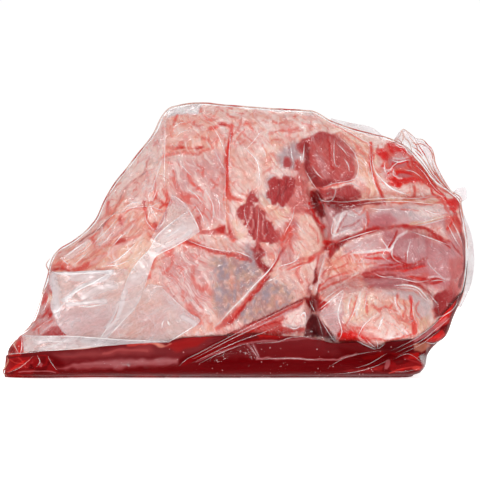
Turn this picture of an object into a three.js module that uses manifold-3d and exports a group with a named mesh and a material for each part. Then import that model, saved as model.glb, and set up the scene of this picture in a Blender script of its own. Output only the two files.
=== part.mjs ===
// A whole corned beef brisket, shut in a clear shrink bag with its red brine, standing on its long edge.
// The pack is one closed body: a pale fatty slab on the left, a folded lobe on the right with a deep crevice
// between them, a roll of brine along the foot, the bag's tail laid over the front, raised folds of film and
// the thin sealed margins that stand off its rim.
// Millimetres. X runs along the pack, -Y is the front, +Z is up and the foot rests on Z = 0.
import * as THREE from "three";
import { mergeVertices } from "three/addons/utils/BufferGeometryUtils.js";
import Module from "manifold-3d";

const wasm = await Module();
wasm.setup();

const LEFT_TIP = -190;
const RIGHT_TIP = 182.3;
const FOOT_ROUNDING = 12;
const FLAT_FOOT_BELOW = 1.2;
const END_SWING = 30;
const FLESH = new THREE.MeshStandardMaterial({ color: 0xd88f88, roughness: 0.3, metalness: 0 });

// Mesh steps: stations along the pack, and points round each section.
const STATIONS = 80;
const ROUND_POINTS = 54;
const FRONT_SHARE = 0.6;
const END_CROWDING = 0.4;
const DENSE = 160;

// Silhouette seen from the front, as [x, z]: the upper rim, then the lower rim.
const UPPER_RIM = [
  [-190, 4], [-188, 21], [-179, 33], [-171, 39], [-165, 49], [-161, 64], [-156.5, 78], [-154, 90], [-149, 99],
  [-134, 109], [-118, 124], [-108, 145], [-89, 171], [-69, 197], [-64, 208], [-56, 215.5], [-34, 219], [-10, 217],
  [37, 213.5], [57, 212.5], [70, 205.5], [90, 198], [114, 192], [131, 185], [145, 171], [156, 157], [168, 148],
  [176, 140], [179.5, 122], [181.6, 108], [182.3, 94],
];
const LOWER_RIM = [
  [-190, 0], [129, 0], [141, 2], [147, 8], [149, 16], [157, 26], [163.5, 31], [171, 49], [177, 62.5], [180.6, 77],
  [182.3, 94],
];

// Half thickness in front of and behind the rim, as [x, reach].
const FRONT_REACH = [
  [-190, 3], [-184, 14], [-168, 29], [-150, 41], [-120, 52], [-70, 57], [0, 59], [60, 57], [110, 58], [145, 48],
  [168, 33], [179, 14], [182.3, 2],
];
const BACK_REACH = [
  [-190, 3], [-184, 14], [-160, 34], [-120, 47], [-50, 54], [30, 56], [100, 53], [140, 44], [165, 31], [178, 14],
  [182.3, 2],
];

// Soft swellings of the meat: middle [x, z], half sizes, how far they rise.
const FRONT_BULGES = [
  { middle: [108, 49], half: [52, 27], rise: 15 },
  { middle: [126, 97], half: [58, 36], rise: 11 },
  { middle: [118, 130], half: [58, 17], rise: 6 },
  { middle: [71, 170], half: [32, 36], rise: 7 },
  { middle: [122, 166], half: [34, 26], rise: 5 },
  { middle: [12, 68], half: [46, 38], rise: 7 },
  { middle: [20, 122], half: [34, 48], rise: 4 },
  { middle: [-34, 160], half: [48, 62], rise: 5 },
  { middle: [-70, 78], half: [66, 46], rise: 7 },
  { middle: [-136, 62], half: [34, 30], rise: 4 },
];
const BACK_BULGES = [
  { middle: [-80, 80], half: [80, 70], rise: 7 },
  { middle: [5, 150], half: [70, 60], rise: 8 },
  { middle: [20, 55], half: [75, 42], rise: 9 },
  { middle: [118, 110], half: [62, 62], rise: 8 },
];

// Creases pressed into the pack: the route [x, z] on its face, half width and depth.
const CREVICE = [[57, 150], [64, 130], [68.5, 110], [66, 92], [59.5, 77], [56.5, 64], [57, 50], [61, 32]];
const CREVICE_X = 62;
const CREVICE_REACH = 60;
const FRONT_CREASES = [
  { route: CREVICE, half: 7.5, depth: 25 },
  { route: [[62, 143], [87, 139], [116, 142.5], [143, 144], [172, 141]], half: 9, depth: 9 },
  { route: [[71, 108], [90, 114], [112, 119.5], [131, 119], [150, 114], [163, 105]], half: 8, depth: 4.5 },
  { route: [[61, 64], [76, 73], [108, 78], [140, 72], [156, 62]], half: 9, depth: 8 },
  { route: [[-37, 113], [-16, 107], [6, 101], [23, 93]], half: 8, depth: 3.5 },
  { route: [[45, 196], [44, 170], [52, 152], [58, 143]], half: 7, depth: 6 },
  { route: [[-176, 27], [-90, 26], [-10, 31], [40, 36], [61, 35]], half: 6, depth: 4 },
  { route: [[61, 33], [85, 25], [112, 22], [140, 27]], half: 8, depth: 6 },
];
const BACK_CREASES = [
  { route: [[-30, 205], [-25, 150], [-38, 100], [-20, 40]], half: 7, depth: 6 },
  { route: [[60, 190], [66, 130], [60, 80], [72, 30]], half: 7, depth: 10 },
  { route: [[-176, 28], [0, 30], [140, 26]], half: 7, depth: 4 },
];

// Raised folds of film, as spindles laid on the front: route [x, z] and greatest radius.
const FILM_FOLDS = [
  { route: [[35, 101], [16, 73], [-1, 54], [-17, 37]], radius: 3.2 },
  { route: [[47, 55], [23, 44], [-9, 31], [-43, 14]], radius: 3.4 },
  { route: [[-10, 204], [-12, 174], [-12, 142], [-11, 112]], radius: 3 },
  { route: [[79, 8], [96, 19], [115, 25], [150, 40]], radius: 3.4 },
  { route: [[-148, 91], [-117, 112], [-93, 139], [-75, 169], [-64, 196]], radius: 3.2 },
];

const FOLD_LIFT = 0.3;

// The bag's tail, laid over the lower left of the front: its two long edges, both from top to bottom.
const TAIL_OUTER = [[-58, 143], [-73, 121], [-104, 103], [-152, 87], [-149, 62], [-135, 43], [-118, 27]];
const TAIL_INNER = [[-52, 141], [-33, 119], [-60, 103], [-74, 81], [-82, 61], [-98, 41], [-113, 26]];
const TAIL_THICKNESS = 1.8;

// Sealed film margins that stand off the rim: buried edge, free edge, how far behind the middle they stand.
const MARGINS = [
  { buried: [[172, 132], [174, 113], [175, 94], [173, 74], [168, 58]],
    free: [[178.5, 131], [185, 113], [187.2, 94], [184.6, 73], [176, 54]], y: 2, wave: 1.5 },
  { buried: [[71, 200], [84, 193], [97, 189], [112, 186]],
    free: [[72, 206.5], [88, 203], [104, 199.5], [115, 191.5]], y: 9, wave: 1 },
  { buried: [[121, 181], [127, 179], [137, 171], [144, 164], [151, 154], [158, 147]],
    free: [[123, 190], [129.5, 197.5], [140, 191], [151.5, 184], [155, 173], [165.5, 152]], y: 1, wave: 4 },
  { buried: [[166, 142], [170, 141], [172, 136]],
    free: [[173, 150], [180, 150.5], [181, 142]], y: 0, wave: 2 },
];
const MARGIN_THICKNESS = 1.8;

// A smooth function through [position, value] pairs that never overshoots them.
function curveThrough(pairs) {
  const last = pairs.length - 1;
  const slopes = pairs.slice(1).map(([x, v], i) => (v - pairs[i][1]) / (x - pairs[i][0]));
  const lean = pairs.map((_, i) => {
    if (i === 0) return slopes[0];
    if (i === last) return slopes[last - 1];
    const before = slopes[i - 1];
    const after = slopes[i];
    return before * after <= 0 ? 0 : (2 * before * after) / (before + after);
  });
  return (x) => {
    if (x <= pairs[0][0]) return pairs[0][1];
    if (x >= pairs[last][0]) return pairs[last][1];
    const i = pairs.findIndex(([at]) => at > x) - 1;
    const span = pairs[i + 1][0] - pairs[i][0];
    const t = (x - pairs[i][0]) / span;
    const back = 1 - t;
    return pairs[i][1] * (1 + 2 * t) * back * back + lean[i] * span * t * back * back
      + pairs[i + 1][1] * t * t * (3 - 2 * t) - lean[i + 1] * span * t * t * back;
  };
}

const topAt = curveThrough(UPPER_RIM);
const footAt = curveThrough(LOWER_RIM);
const frontAt = curveThrough(FRONT_REACH);
const backAt = curveThrough(BACK_REACH);
const creviceAt = curveThrough([
  [0, CREVICE_X], ...CREVICE.map(([x, z]) => [z, x]).reverse(), [185, CREVICE_X],
]);

// Distance from a point of the face to a route, and how far along the route its nearest point is, 0 to 1.
function nearestOn(route, x, z) {
  let best = { distance: Infinity, along: 0 };
  route.slice(1).forEach(([bx, bz], i) => {
    const [ax, az] = route[i];
    const t = THREE.MathUtils.clamp(
      ((x - ax) * (bx - ax) + (z - az) * (bz - az)) / ((bx - ax) ** 2 + (bz - az) ** 2), 0, 1);
    const distance = Math.hypot(x - ax - t * (bx - ax), z - az - t * (bz - az));
    if (distance < best.distance) best = { distance, along: (i + t) / (route.length - 1) };
  });
  return best;
}

// How far a station is carried along the pack at height z, so that the one at CREVICE_X runs down the crevice.
function carriedBy(station, z) {
  const near = Math.max(0, 1 - ((station - CREVICE_X) / CREVICE_REACH) ** 2);
  return near * near * (creviceAt(z) - CREVICE_X);
}

function swelling(bulges, x, z) {
  return bulges.reduce((sum, { middle, half, rise }) => {
    const r2 = ((x - middle[0]) / half[0]) ** 2 + ((z - middle[1]) / half[1]) ** 2;
    return r2 < 1 ? sum + rise * (1 - r2) ** 1.3 : sum;
  }, 0);
}

function pressing(creases, x, z) {
  return creases.reduce((sum, { route, half, depth }) => {
    const { distance, along } = nearestOn(route, x, z);
    const fade = Math.min(1, Math.sin(Math.PI * THREE.MathUtils.clamp(along, 0.04, 0.96)) * 3);
    return sum + depth * fade * Math.exp(-((distance / half) ** 2));
  }, 0);
}

// The roll of brine along the foot, as extra reach at height z.
function brineRoll(x, z) {
  const ends = THREE.MathUtils.smoothstep(x, -188, -165) * (1 - THREE.MathUtils.smoothstep(x, 120, 146));
  return 5 * ends * Math.exp(-(((z - 13) / 11) ** 2));
}

// Height at (x, z) as a share of the section, 0 at the foot and 1 at the rim, and as a share of the foot's rounding.
function heightShares(x, z) {
  const foot = footAt(x);
  const height = Math.max(topAt(x) - foot, 0.5);
  const share = THREE.MathUtils.clamp((z - foot) / height, 0, 1);
  const overhang = THREE.MathUtils.smoothstep(foot, 0, 26);
  const rounding = THREE.MathUtils.lerp(Math.min(FOOT_ROUNDING, 0.45 * height), 0.55 * height, overhang);
  return { share, low: Math.min((share * height) / rounding, 1) };
}

// How far the pack's face would stand from the rim's plane without its swellings and creases.
function plainReachAt(x, z, side) {
  const { share, low } = heightShares(x, z);
  const shape = (1 - (1 - low) ** 4) ** 0.25 * (1 - share ** 2.3) ** 0.46;
  return (side > 0 ? frontAt(x) : backAt(x)) * shape;
}

// How far the pack's face stands from the rim's plane at (x, z), in front (side 1) or behind (side -1).
function reachAt(x, z, side) {
  const { share, low } = heightShares(x, z);
  const relief = side > 0
    ? swelling(FRONT_BULGES, x, z) - pressing(FRONT_CREASES, x, z) + brineRoll(x, z)
    : swelling(BACK_BULGES, x, z) - pressing(BACK_CREASES, x, z) + brineRoll(x, z);
  const window = Math.min(1, Math.min(low, (1 - share) * 6))
    * THREE.MathUtils.smoothstep(x, LEFT_TIP, LEFT_TIP + 20)
    * (1 - THREE.MathUtils.smoothstep(x, RIGHT_TIP - 14, RIGHT_TIP));
  return Math.max(plainReachAt(x, z, side) + relief * window, 0);
}

// Where the rim's plane lies: the low left end of the foot swings out to the front.
function rimPlaneAt(x, z) {
  return -END_SWING * (1 - THREE.MathUtils.smoothstep(x, LEFT_TIP, -110)) * (1 - THREE.MathUtils.smoothstep(z, 20, 75));
}

function facePoint(x, z, side) {
  return new THREE.Vector3(x, rimPlaneAt(x, z) - side * reachAt(x, z, side), z);
}

// Points over one side of a station's section, from foot to rim, evenly spaced along its plain form.
function sideOfSection(station, side, count) {
  const foot = footAt(station);
  const height = topAt(station) - foot;
  const plain = Array.from({ length: DENSE + 1 }, (_, k) => {
    const z = foot + height * (0.5 - 0.5 * Math.cos((Math.PI * k) / DENSE));
    return new THREE.Vector2(plainReachAt(station, z, side), z);
  });
  return new THREE.Path(plain).getSpacedPoints(count)
    .map(({ y: z }) => facePoint(station + (side > 0 ? carriedBy(station, z) : 0), z, side));
}

function sectionAt(station) {
  const front = Math.round(ROUND_POINTS * FRONT_SHARE);
  const up = sideOfSection(station, 1, front);
  const down = sideOfSection(station, -1, ROUND_POINTS - front).reverse();
  return [...up, ...down.slice(1)];
}

function stationAt(t) {
  const even = 2 * t - 1;
  const crowded = -Math.cos(Math.PI * t);
  const share = THREE.MathUtils.lerp(even, crowded, END_CROWDING);
  return THREE.MathUtils.lerp(LEFT_TIP, RIGHT_TIP, (share + 1) / 2);
}

// The filled bag's body: a sphere whose meridians are pulled out to the sections.
function bodyGeometry() {
  const geometry = new THREE.SphereGeometry(1, ROUND_POINTS, STATIONS);
  const sections = Array.from({ length: STATIONS + 1 }, (_, i) => sectionAt(stationAt(i / STATIONS)));
  const place = geometry.attributes.position;
  for (let i = 0; i <= STATIONS; i++) {
    const atPole = i === 0 || i === STATIONS;
    for (let j = 0; j <= ROUND_POINTS; j++) {
      const { x, y, z } = sections[i][atPole ? Math.round(ROUND_POINTS * FRONT_SHARE * 0.5) : j];
      place.setXYZ(i * (ROUND_POINTS + 1) + j, x, y, z < FLAT_FOOT_BELOW ? 0 : z);
    }
  }
  return geometry;
}

// A box bent into a sheet between two lines: depthAt(x, z, side) gives y on its front (1) and back (0).
function sheetGeometry(lineA, lineB, across, along, depthAt) {
  const curves = [lineA, lineB].map((line) => new THREE.CatmullRomCurve3(
    line.map(([x, z]) => new THREE.Vector3(x, 0, z)), false, "centripetal"));
  const geometry = new THREE.BoxGeometry(1, 1, 1, across, along, 1);
  const place = geometry.attributes.position;
  for (let i = 0; i < place.count; i++) {
    const [a, b] = curves.map((curve) => curve.getPoint(place.getY(i) + 0.5));
    const p = a.lerp(b, place.getX(i) + 0.5);
    place.setXYZ(i, p.x, depthAt(p.x, p.z, place.getZ(i) + 0.5), p.z);
  }
  return geometry;
}

function tailGeometry() {
  return sheetGeometry(TAIL_OUTER, TAIL_INNER, 8, 14,
    (x, z, side) => facePoint(x, z, 1).y + (side > 0.5 ? 1.5 : -TAIL_THICKNESS));
}

function marginGeometry({ buried, free, y, wave }) {
  return sheetGeometry(buried, free, 3, 3 * (buried.length - 1),
    (x, z, side) => y + wave * Math.sin((x + z) / 4) + (side > 0.5 ? -0.5 : 0.5) * MARGIN_THICKNESS);
}

// A spindle laid along a route on the front face.
function foldGeometry({ route, radius }) {
  const steps = 10;
  const curve = new THREE.CatmullRomCurve3(
    route.map(([x, z]) => new THREE.Vector3(x, 0, z)), false, "centripetal");
  const geometry = new THREE.CylinderGeometry(1, 1, 1, 5, steps);
  const place = geometry.attributes.position;
  for (let i = 0; i < place.count; i++) {
    const t = place.getY(i) + 0.5;
    const on = curve.getPoint(t);
    const ahead = curve.getTangent(t);
    const beside = new THREE.Vector3(-ahead.z, 0, ahead.x).multiplyScalar(place.getX(i));
    const girth = radius * (0.15 + 0.85 * Math.sin(Math.PI * t));
    const y = facePoint(on.x, on.z, 1).y - FOLD_LIFT * radius - girth * place.getZ(i);
    place.setXYZ(i, on.x + beside.x * girth, y, on.z + beside.z * girth);
  }
  return geometry;
}

function solidOf(geometry) {
  geometry.deleteAttribute("normal");
  geometry.deleteAttribute("uv");
  const merged = mergeVertices(geometry, 1e-3);
  const triVerts = new Uint32Array(merged.index.array);
  const corner = (i) => new THREE.Vector3().fromBufferAttribute(merged.attributes.position, triVerts[i]);
  let volume = 0;
  for (let i = 0; i < triVerts.length; i += 3) volume += corner(i).dot(corner(i + 1).cross(corner(i + 2)));
  if (volume < 0) triVerts.reverse();
  return new wasm.Manifold(new wasm.Mesh({
    numProp: 3, vertProperties: merged.attributes.position.array, triVerts,
  }));
}

function geometryOf(solid) {
  const { vertProperties, triVerts } = solid.getMesh();
  return new THREE.BufferGeometry()
    .setAttribute("position", new THREE.BufferAttribute(vertProperties, 3))
    .setIndex(new THREE.BufferAttribute(triVerts, 1));
}

// The outer shell of a joined solid, with the pockets that folds and film shut in left filled.
function withoutPockets(solid) {
  const shells = solid.decompose();
  return shells.reduce((most, shell) => (shell.volume() > most.volume() ? shell : most));
}

function sealedBag() {
  const extras = [tailGeometry(), ...MARGINS.map(marginGeometry), ...FILM_FOLDS.map(foldGeometry)];
  const solid = withoutPockets(
    extras.reduce((sum, extra) => sum.add(solidOf(extra)), solidOf(bodyGeometry())));
  const mesh = new THREE.Mesh(geometryOf(solid), FLESH);
  mesh.name = "sealed_bag";
  return mesh;
}

const pack = new THREE.Group();
const bag = sealedBag();
bag.geometry.computeBoundingBox();
const middle = bag.geometry.boundingBox.getCenter(new THREE.Vector3());
bag.position.set(-middle.x, -middle.y, 0);
pack.add(bag);

export default pack;
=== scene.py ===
"""A whole corned beef brisket shut in a clear shrink bag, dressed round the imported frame.

Sizes are millimetres in the pack's own axes: x along the pack, y away from the viewer, z up from the foot.
The rim's plane is y = 0 and the shown face looks along -y. Each mesh is brought into the frame's metres when
it is finished.
"""

import bmesh
import bpy
import numpy as np
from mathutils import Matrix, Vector


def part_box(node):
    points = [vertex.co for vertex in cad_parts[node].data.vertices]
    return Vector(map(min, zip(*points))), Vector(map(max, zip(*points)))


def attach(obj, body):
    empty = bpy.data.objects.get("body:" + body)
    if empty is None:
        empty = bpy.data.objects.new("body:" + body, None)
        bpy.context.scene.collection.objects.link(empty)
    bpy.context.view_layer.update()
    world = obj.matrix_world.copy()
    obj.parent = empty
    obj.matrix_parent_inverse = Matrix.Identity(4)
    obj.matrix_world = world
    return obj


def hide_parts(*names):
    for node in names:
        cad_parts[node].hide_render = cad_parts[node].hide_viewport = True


bl_info = {
    "name": "Bagged Corned Beef Brisket",
    "version": (1, 0, 0),
    "blender": (4, 5, 0),
    "location": "3D View > Sidebar > Brisket",
    "description": "Builds a corned beef brisket with its brine, shut in a clear shrink bag",
    "category": "Add Mesh",
}

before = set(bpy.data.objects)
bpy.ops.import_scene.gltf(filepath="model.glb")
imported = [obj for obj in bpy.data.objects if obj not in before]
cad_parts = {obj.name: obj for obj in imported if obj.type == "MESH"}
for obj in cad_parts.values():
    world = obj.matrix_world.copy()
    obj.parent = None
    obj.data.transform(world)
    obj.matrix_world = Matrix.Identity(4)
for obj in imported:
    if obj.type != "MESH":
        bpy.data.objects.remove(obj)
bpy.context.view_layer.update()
BAG_LOW, _ = (Vector(corner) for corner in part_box("sealed_bag"))

MM = 0.001
# The photograph's side in pixels, and the length that one of them shows
PHOTO_SIDE = 480
PHOTO_STEP = 0.8 * MM
LEFT_TIP = -190.0
RIGHT_TIP = 182.3
RIM_PLANE_Y = 4.0
FRONT, BACK = 1, -1

# Form of the pack: close to its solid's, but for the crevice, which is up to 23 mm shallower here; its darkness
# is painted shade

FOOT_ROUNDING = 12.0
FLAT_FOOT_BELOW = 1.2
END_SWING = 30.0
UPPER_RIM = (
    (-190, 4), (-188, 21), (-179, 33), (-171, 39), (-165, 49), (-161, 64), (-156.5, 78), (-154, 90),
    (-149, 99), (-134, 109), (-118, 124), (-108, 145), (-89, 171), (-69, 197), (-64, 208), (-56, 215.5),
    (-34, 219), (-10, 217), (37, 213.5), (57, 212.5), (70, 205.5), (90, 198), (114, 192), (131, 185),
    (145, 171), (156, 157), (168, 148), (176, 140), (179.5, 122), (181.6, 108), (182.3, 94),
)
LOWER_RIM = (
    (-190, 0), (129, 0), (141, 2), (147, 8), (149, 16), (157, 26), (163.5, 31), (171, 49), (177, 62.5),
    (180.6, 77), (182.3, 94),
)
FRONT_REACH = (
    (-190, 3), (-184, 14), (-168, 29), (-150, 41), (-120, 52), (-70, 57), (0, 59), (60, 57), (110, 58),
    (145, 48), (168, 33), (179, 14), (182.3, 2),
)
BACK_REACH = (
    (-190, 3), (-184, 14), (-160, 34), (-120, 47), (-50, 54), (30, 56), (100, 53), (140, 44), (165, 31),
    (178, 14), (182.3, 2),
)

# Swellings: middle (x, z), half sizes (x, z), rise
FRONT_BULGES = (
    ((108, 49), (52, 27), 15), ((126, 97), (58, 36), 11), ((118, 130), (58, 17), 6), ((71, 170), (32, 36), 7),
    ((122, 166), (34, 26), 5), ((12, 68), (46, 38), 7), ((20, 122), (34, 48), 4), ((-34, 160), (48, 62), 5),
    ((-70, 78), (66, 46), 7), ((-136, 62), (34, 30), 4),
)
BACK_BULGES = (
    ((-80, 80), (80, 70), 7), ((5, 150), (70, 60), 8), ((20, 55), (75, 42), 9), ((118, 110), (62, 62), 8),
)

# Creases: route (x, z), half width, depth in the film, depth in the meat below it
CREVICE = ((57, 150), (64, 130), (68.5, 110), (66, 92), (59.5, 77), (56.5, 64), (57, 50), (61, 32))
# Where the crevice lies in x on the whole, and how far to each side the mesh leans with it
CREVICE_X = 62
CREVICE_PULL = 60
FRONT_CREASES = (
    (CREVICE, 4.5, 3, 4.5),
    (CREVICE[:3], 4.5, 2, 5),
    (CREVICE[5:], 4.5, 2, 7),
    (((62, 143), (87, 139), (116, 142.5), (143, 144), (172, 141)), 7, 6, 9),
    (((71, 108), (90, 114), (112, 119.5), (131, 119), (150, 114), (163, 105)), 6, 3.5, 5.5),
    (((61, 64), (76, 73), (108, 78), (140, 72), (156, 62)), 7, 5.5, 8.5),
    (((-37, 113), (-16, 107), (6, 101), (23, 93)), 5, 2, 4),
    (((45, 196), (44, 170), (52, 152), (58, 143)), 6, 3.5, 6),
    (((-176, 27), (-90, 26), (-10, 31), (40, 36), (61, 35)), 6, 3, 5),
    (((61, 33), (85, 25), (112, 22), (140, 27)), 7, 4, 8),
    (((-7, 203), (-10, 190), (-12, 170), (-12, 150), (-11, 122)), 3, 1.2, 2.4),
    (((-62, 178), (-40, 181), (-22, 180)), 4, 0.8, 2),
)
BACK_CREASES = (
    (((-30, 205), (-25, 150), (-38, 100), (-20, 40)), 7, 5, 8),
    (((60, 190), (66, 130), (60, 80), (72, 30)), 7, 8, 13),
    (((-176, 28), (0, 30), (140, 26)), 7, 3, 5),
)

# Mesh steps of the wrapped pieces: stations along the pack, and points round each section
STATIONS = 366
ROUND_POINTS = 270
FRONT_SHARE = 0.7
END_CROWDING = 0.25


def curve_through(points):
    """A smooth function through (place, value) points that never overshoots them."""
    at, value = np.array(points, float).T
    slope = np.diff(value) / np.diff(at)
    lean = np.concatenate((slope[:1], np.zeros(len(slope) - 1), slope[-1:]))
    before, after = slope[:-1], slope[1:]
    level = before * after > 0
    lean[1:-1] = np.where(level, 2 * before * after / np.where(level, before + after, 1), 0)

    def found(x):
        x = np.clip(x, at[0], at[-1])
        i = np.clip(np.searchsorted(at, x, side="right") - 1, 0, len(at) - 2)
        span = at[i + 1] - at[i]
        t = (x - at[i]) / span
        back = 1 - t
        rise = value[i] * (1 + 2 * t) * back**2 + value[i + 1] * t * t * (3 - 2 * t)
        return rise + lean[i] * span * t * back**2 - lean[i + 1] * span * t * t * back

    return found


top_at = curve_through(UPPER_RIM)
foot_at = curve_through(LOWER_RIM)
reach_in_front = curve_through(FRONT_REACH)
reach_behind = curve_through(BACK_REACH)


def smoothstep(low, high, x):
    t = np.clip((x - low) / (high - low), 0, 1)
    return t * t * (3 - 2 * t)


def softened(route, steps=5):
    """The points of a smooth curve through a route's own points."""
    points = np.array(route, float)
    if len(points) < 3:
        return points
    ends = np.vstack((2 * points[0] - points[1], points, 2 * points[-1] - points[-2]))
    t = np.linspace(0, 1, steps, endpoint=False)[:, None]
    made = []
    for a, b, c, d in zip(ends, ends[1:], ends[2:], ends[3:]):
        square, cube = 2 * a - 5 * b + 4 * c - d, 3 * b - a - 3 * c + d
        made.append(0.5 * (2 * b + (c - a) * t + square * t**2 + cube * t**3))
    return np.vstack((*made, points[-1:]))


def near_route(route, x, z):
    """Each place's distance from a route, and its nearest point's share of the way along, 0 to 1."""
    points = np.array(route, float)
    best = np.full(np.shape(x), np.inf)
    along = np.zeros(np.shape(x))
    for i, ((ax, az), (bx, bz)) in enumerate(zip(points, points[1:])):
        dx, dz = bx - ax, bz - az
        t = np.clip(((x - ax) * dx + (z - az) * dz) / max(dx * dx + dz * dz, 1e-9), 0, 1)
        distance = np.hypot(x - ax - t * dx, z - az - t * dz)
        along = np.where(distance < best, (i + t) / (len(points) - 1), along)
        best = np.minimum(best, distance)
    return best, along


def depth_inside(outline, x, z):
    """Distance of each place from a closed outline, positive inside it."""
    points = np.array(outline, float)
    closed = np.vstack((points, points[:1]))
    distance, _ = near_route(closed, x, z)
    inside = np.zeros(np.shape(x), bool)
    for (ax, az), (bx, bz) in zip(closed, closed[1:]):
        if az == bz:
            continue
        crosses = (z < az) != (z < bz)
        inside ^= crosses & (x < (bx - ax) * (z - az) / (bz - az) + ax)
    return np.where(inside, distance, -distance)


LATTICE_SIDE = 48
LATTICE = np.random.default_rng(11).uniform(-1, 1, (LATTICE_SIDE,) * 3)


def grain(x, y, z, size, seed=0):
    """Smooth random values, -1 to 1, in lumps about size across."""
    places = [np.asarray(axis) / size + 17.3 * seed for axis in (x, y, z)]
    cells = [np.floor(place).astype(int) for place in places]
    parts = [place - cell for place, cell in zip(places, cells)]
    eased = [part * part * (3 - 2 * part) for part in parts]
    total = 0
    for corner in np.ndindex(2, 2, 2):
        index = tuple((cell + step) % LATTICE_SIDE for cell, step in zip(cells, corner))
        share = 1
        for part, step in zip(eased, corner):
            share = share * (part if step else 1 - part)
        total = total + share * LATTICE[index]
    return total


def swelling(bulges, x, z):
    total = 0
    for (mx, mz), (hx, hz), rise in bulges:
        inside = np.clip(1 - ((x - mx) / hx) ** 2 - ((z - mz) / hz) ** 2, 0, 1)
        total = total + rise * inside**1.3
    return total


def pressing(creases, x, z, layer):
    """Depth pressed in by the creases, in the film (layer 0) or in the meat (layer 1)."""
    total = 0
    for route, half, *depths in creases:
        distance, along = near_route(softened(route), x, z)
        fade = np.minimum(1, np.sin(np.pi * np.clip(along, 0.04, 0.96)) * 3)
        width = half * (1 if layer == 0 else 0.8)
        total = total + depths[layer] * fade * np.exp(-((distance / width) ** 2))
    return total


def brine_roll(x, z):
    ends = smoothstep(-188, -165, x) * (1 - smoothstep(120, 146, x))
    return 5 * ends * np.exp(-(((z - 13) / 11) ** 2))


def height_shares(x, z):
    """Height as a share of the section, 0 to 1, and as a share of the foot's rounding."""
    foot = foot_at(x)
    height = np.maximum(top_at(x) - foot, 0.5)
    share = np.clip((z - foot) / height, 0, 1)
    overhang = smoothstep(0, 26, foot)
    rounding = np.minimum(FOOT_ROUNDING, 0.45 * height) * (1 - overhang) + 0.55 * height * overhang
    return share, np.minimum(share * height / rounding, 1)


def plain_reach(x, z, side):
    share, low = height_shares(x, z)
    reach = reach_in_front(x) if side == FRONT else reach_behind(x)
    return reach * (1 - (1 - low) ** 4) ** 0.25 * (1 - share**2.3) ** 0.46


def relief_window(x, z):
    share, low = height_shares(x, z)
    ends = smoothstep(LEFT_TIP, LEFT_TIP + 20, x) * (1 - smoothstep(RIGHT_TIP - 14, RIGHT_TIP, x))
    return np.minimum(low, np.clip((1 - share) * 6, 0, 1)) * ends


def pack_reach(x, z, side, layer):
    """How far the film (layer 0) or the meat's creased form (layer 1) stands from the rim's plane."""
    bulges, creases = (FRONT_BULGES, FRONT_CREASES) if side == FRONT else (BACK_BULGES, BACK_CREASES)
    relief = swelling(bulges, x, z) - pressing(creases, x, z, layer) + brine_roll(x, z)
    return np.maximum(plain_reach(x, z, side) + relief * relief_window(x, z), 0)


def rim_plane(x, z):
    """The low left end of the foot swings out to the front."""
    return -END_SWING * (1 - smoothstep(LEFT_TIP, -110, x)) * (1 - smoothstep(20, 75, z))


def film_reach(x, z, side):
    """The film's own surface, with the small tucks and pulls of a shrunk bag."""
    tucks = 0.9 * (1 - np.abs(grain(x * 0.8 + z * 0.6, side * 40, (z - x) * 0.35, 10, 3))) ** 4
    tucks = tucks + 0.5 * (1 - np.abs(grain(x * 0.4 - z * 0.3, side * 40, z + x * 0.5, 6, 4))) ** 4 - 0.2
    return pack_reach(x, z, side, 0) + tucks * relief_window(x, z)


# Paint

def srgb(code):
    """An sRGB colour of six hexadecimal digits as three numbers from 0 to 1."""
    return tuple(int(code[i : i + 2], 16) / 255 for i in (0, 2, 4))


def linear(colour):
    colour = np.asarray(colour, float)
    return np.where(colour <= 0.04045, colour / 12.92, ((colour + 0.055) / 1.055) ** 2.4)


def stroke(paint, strength, half, *route):
    return {"paint": paint, "strength": strength, "half": half, "route": route}


def patch(paint, strength, soft, *outline):
    return {"paint": paint, "strength": strength, "soft": soft, "outline": outline}


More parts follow.
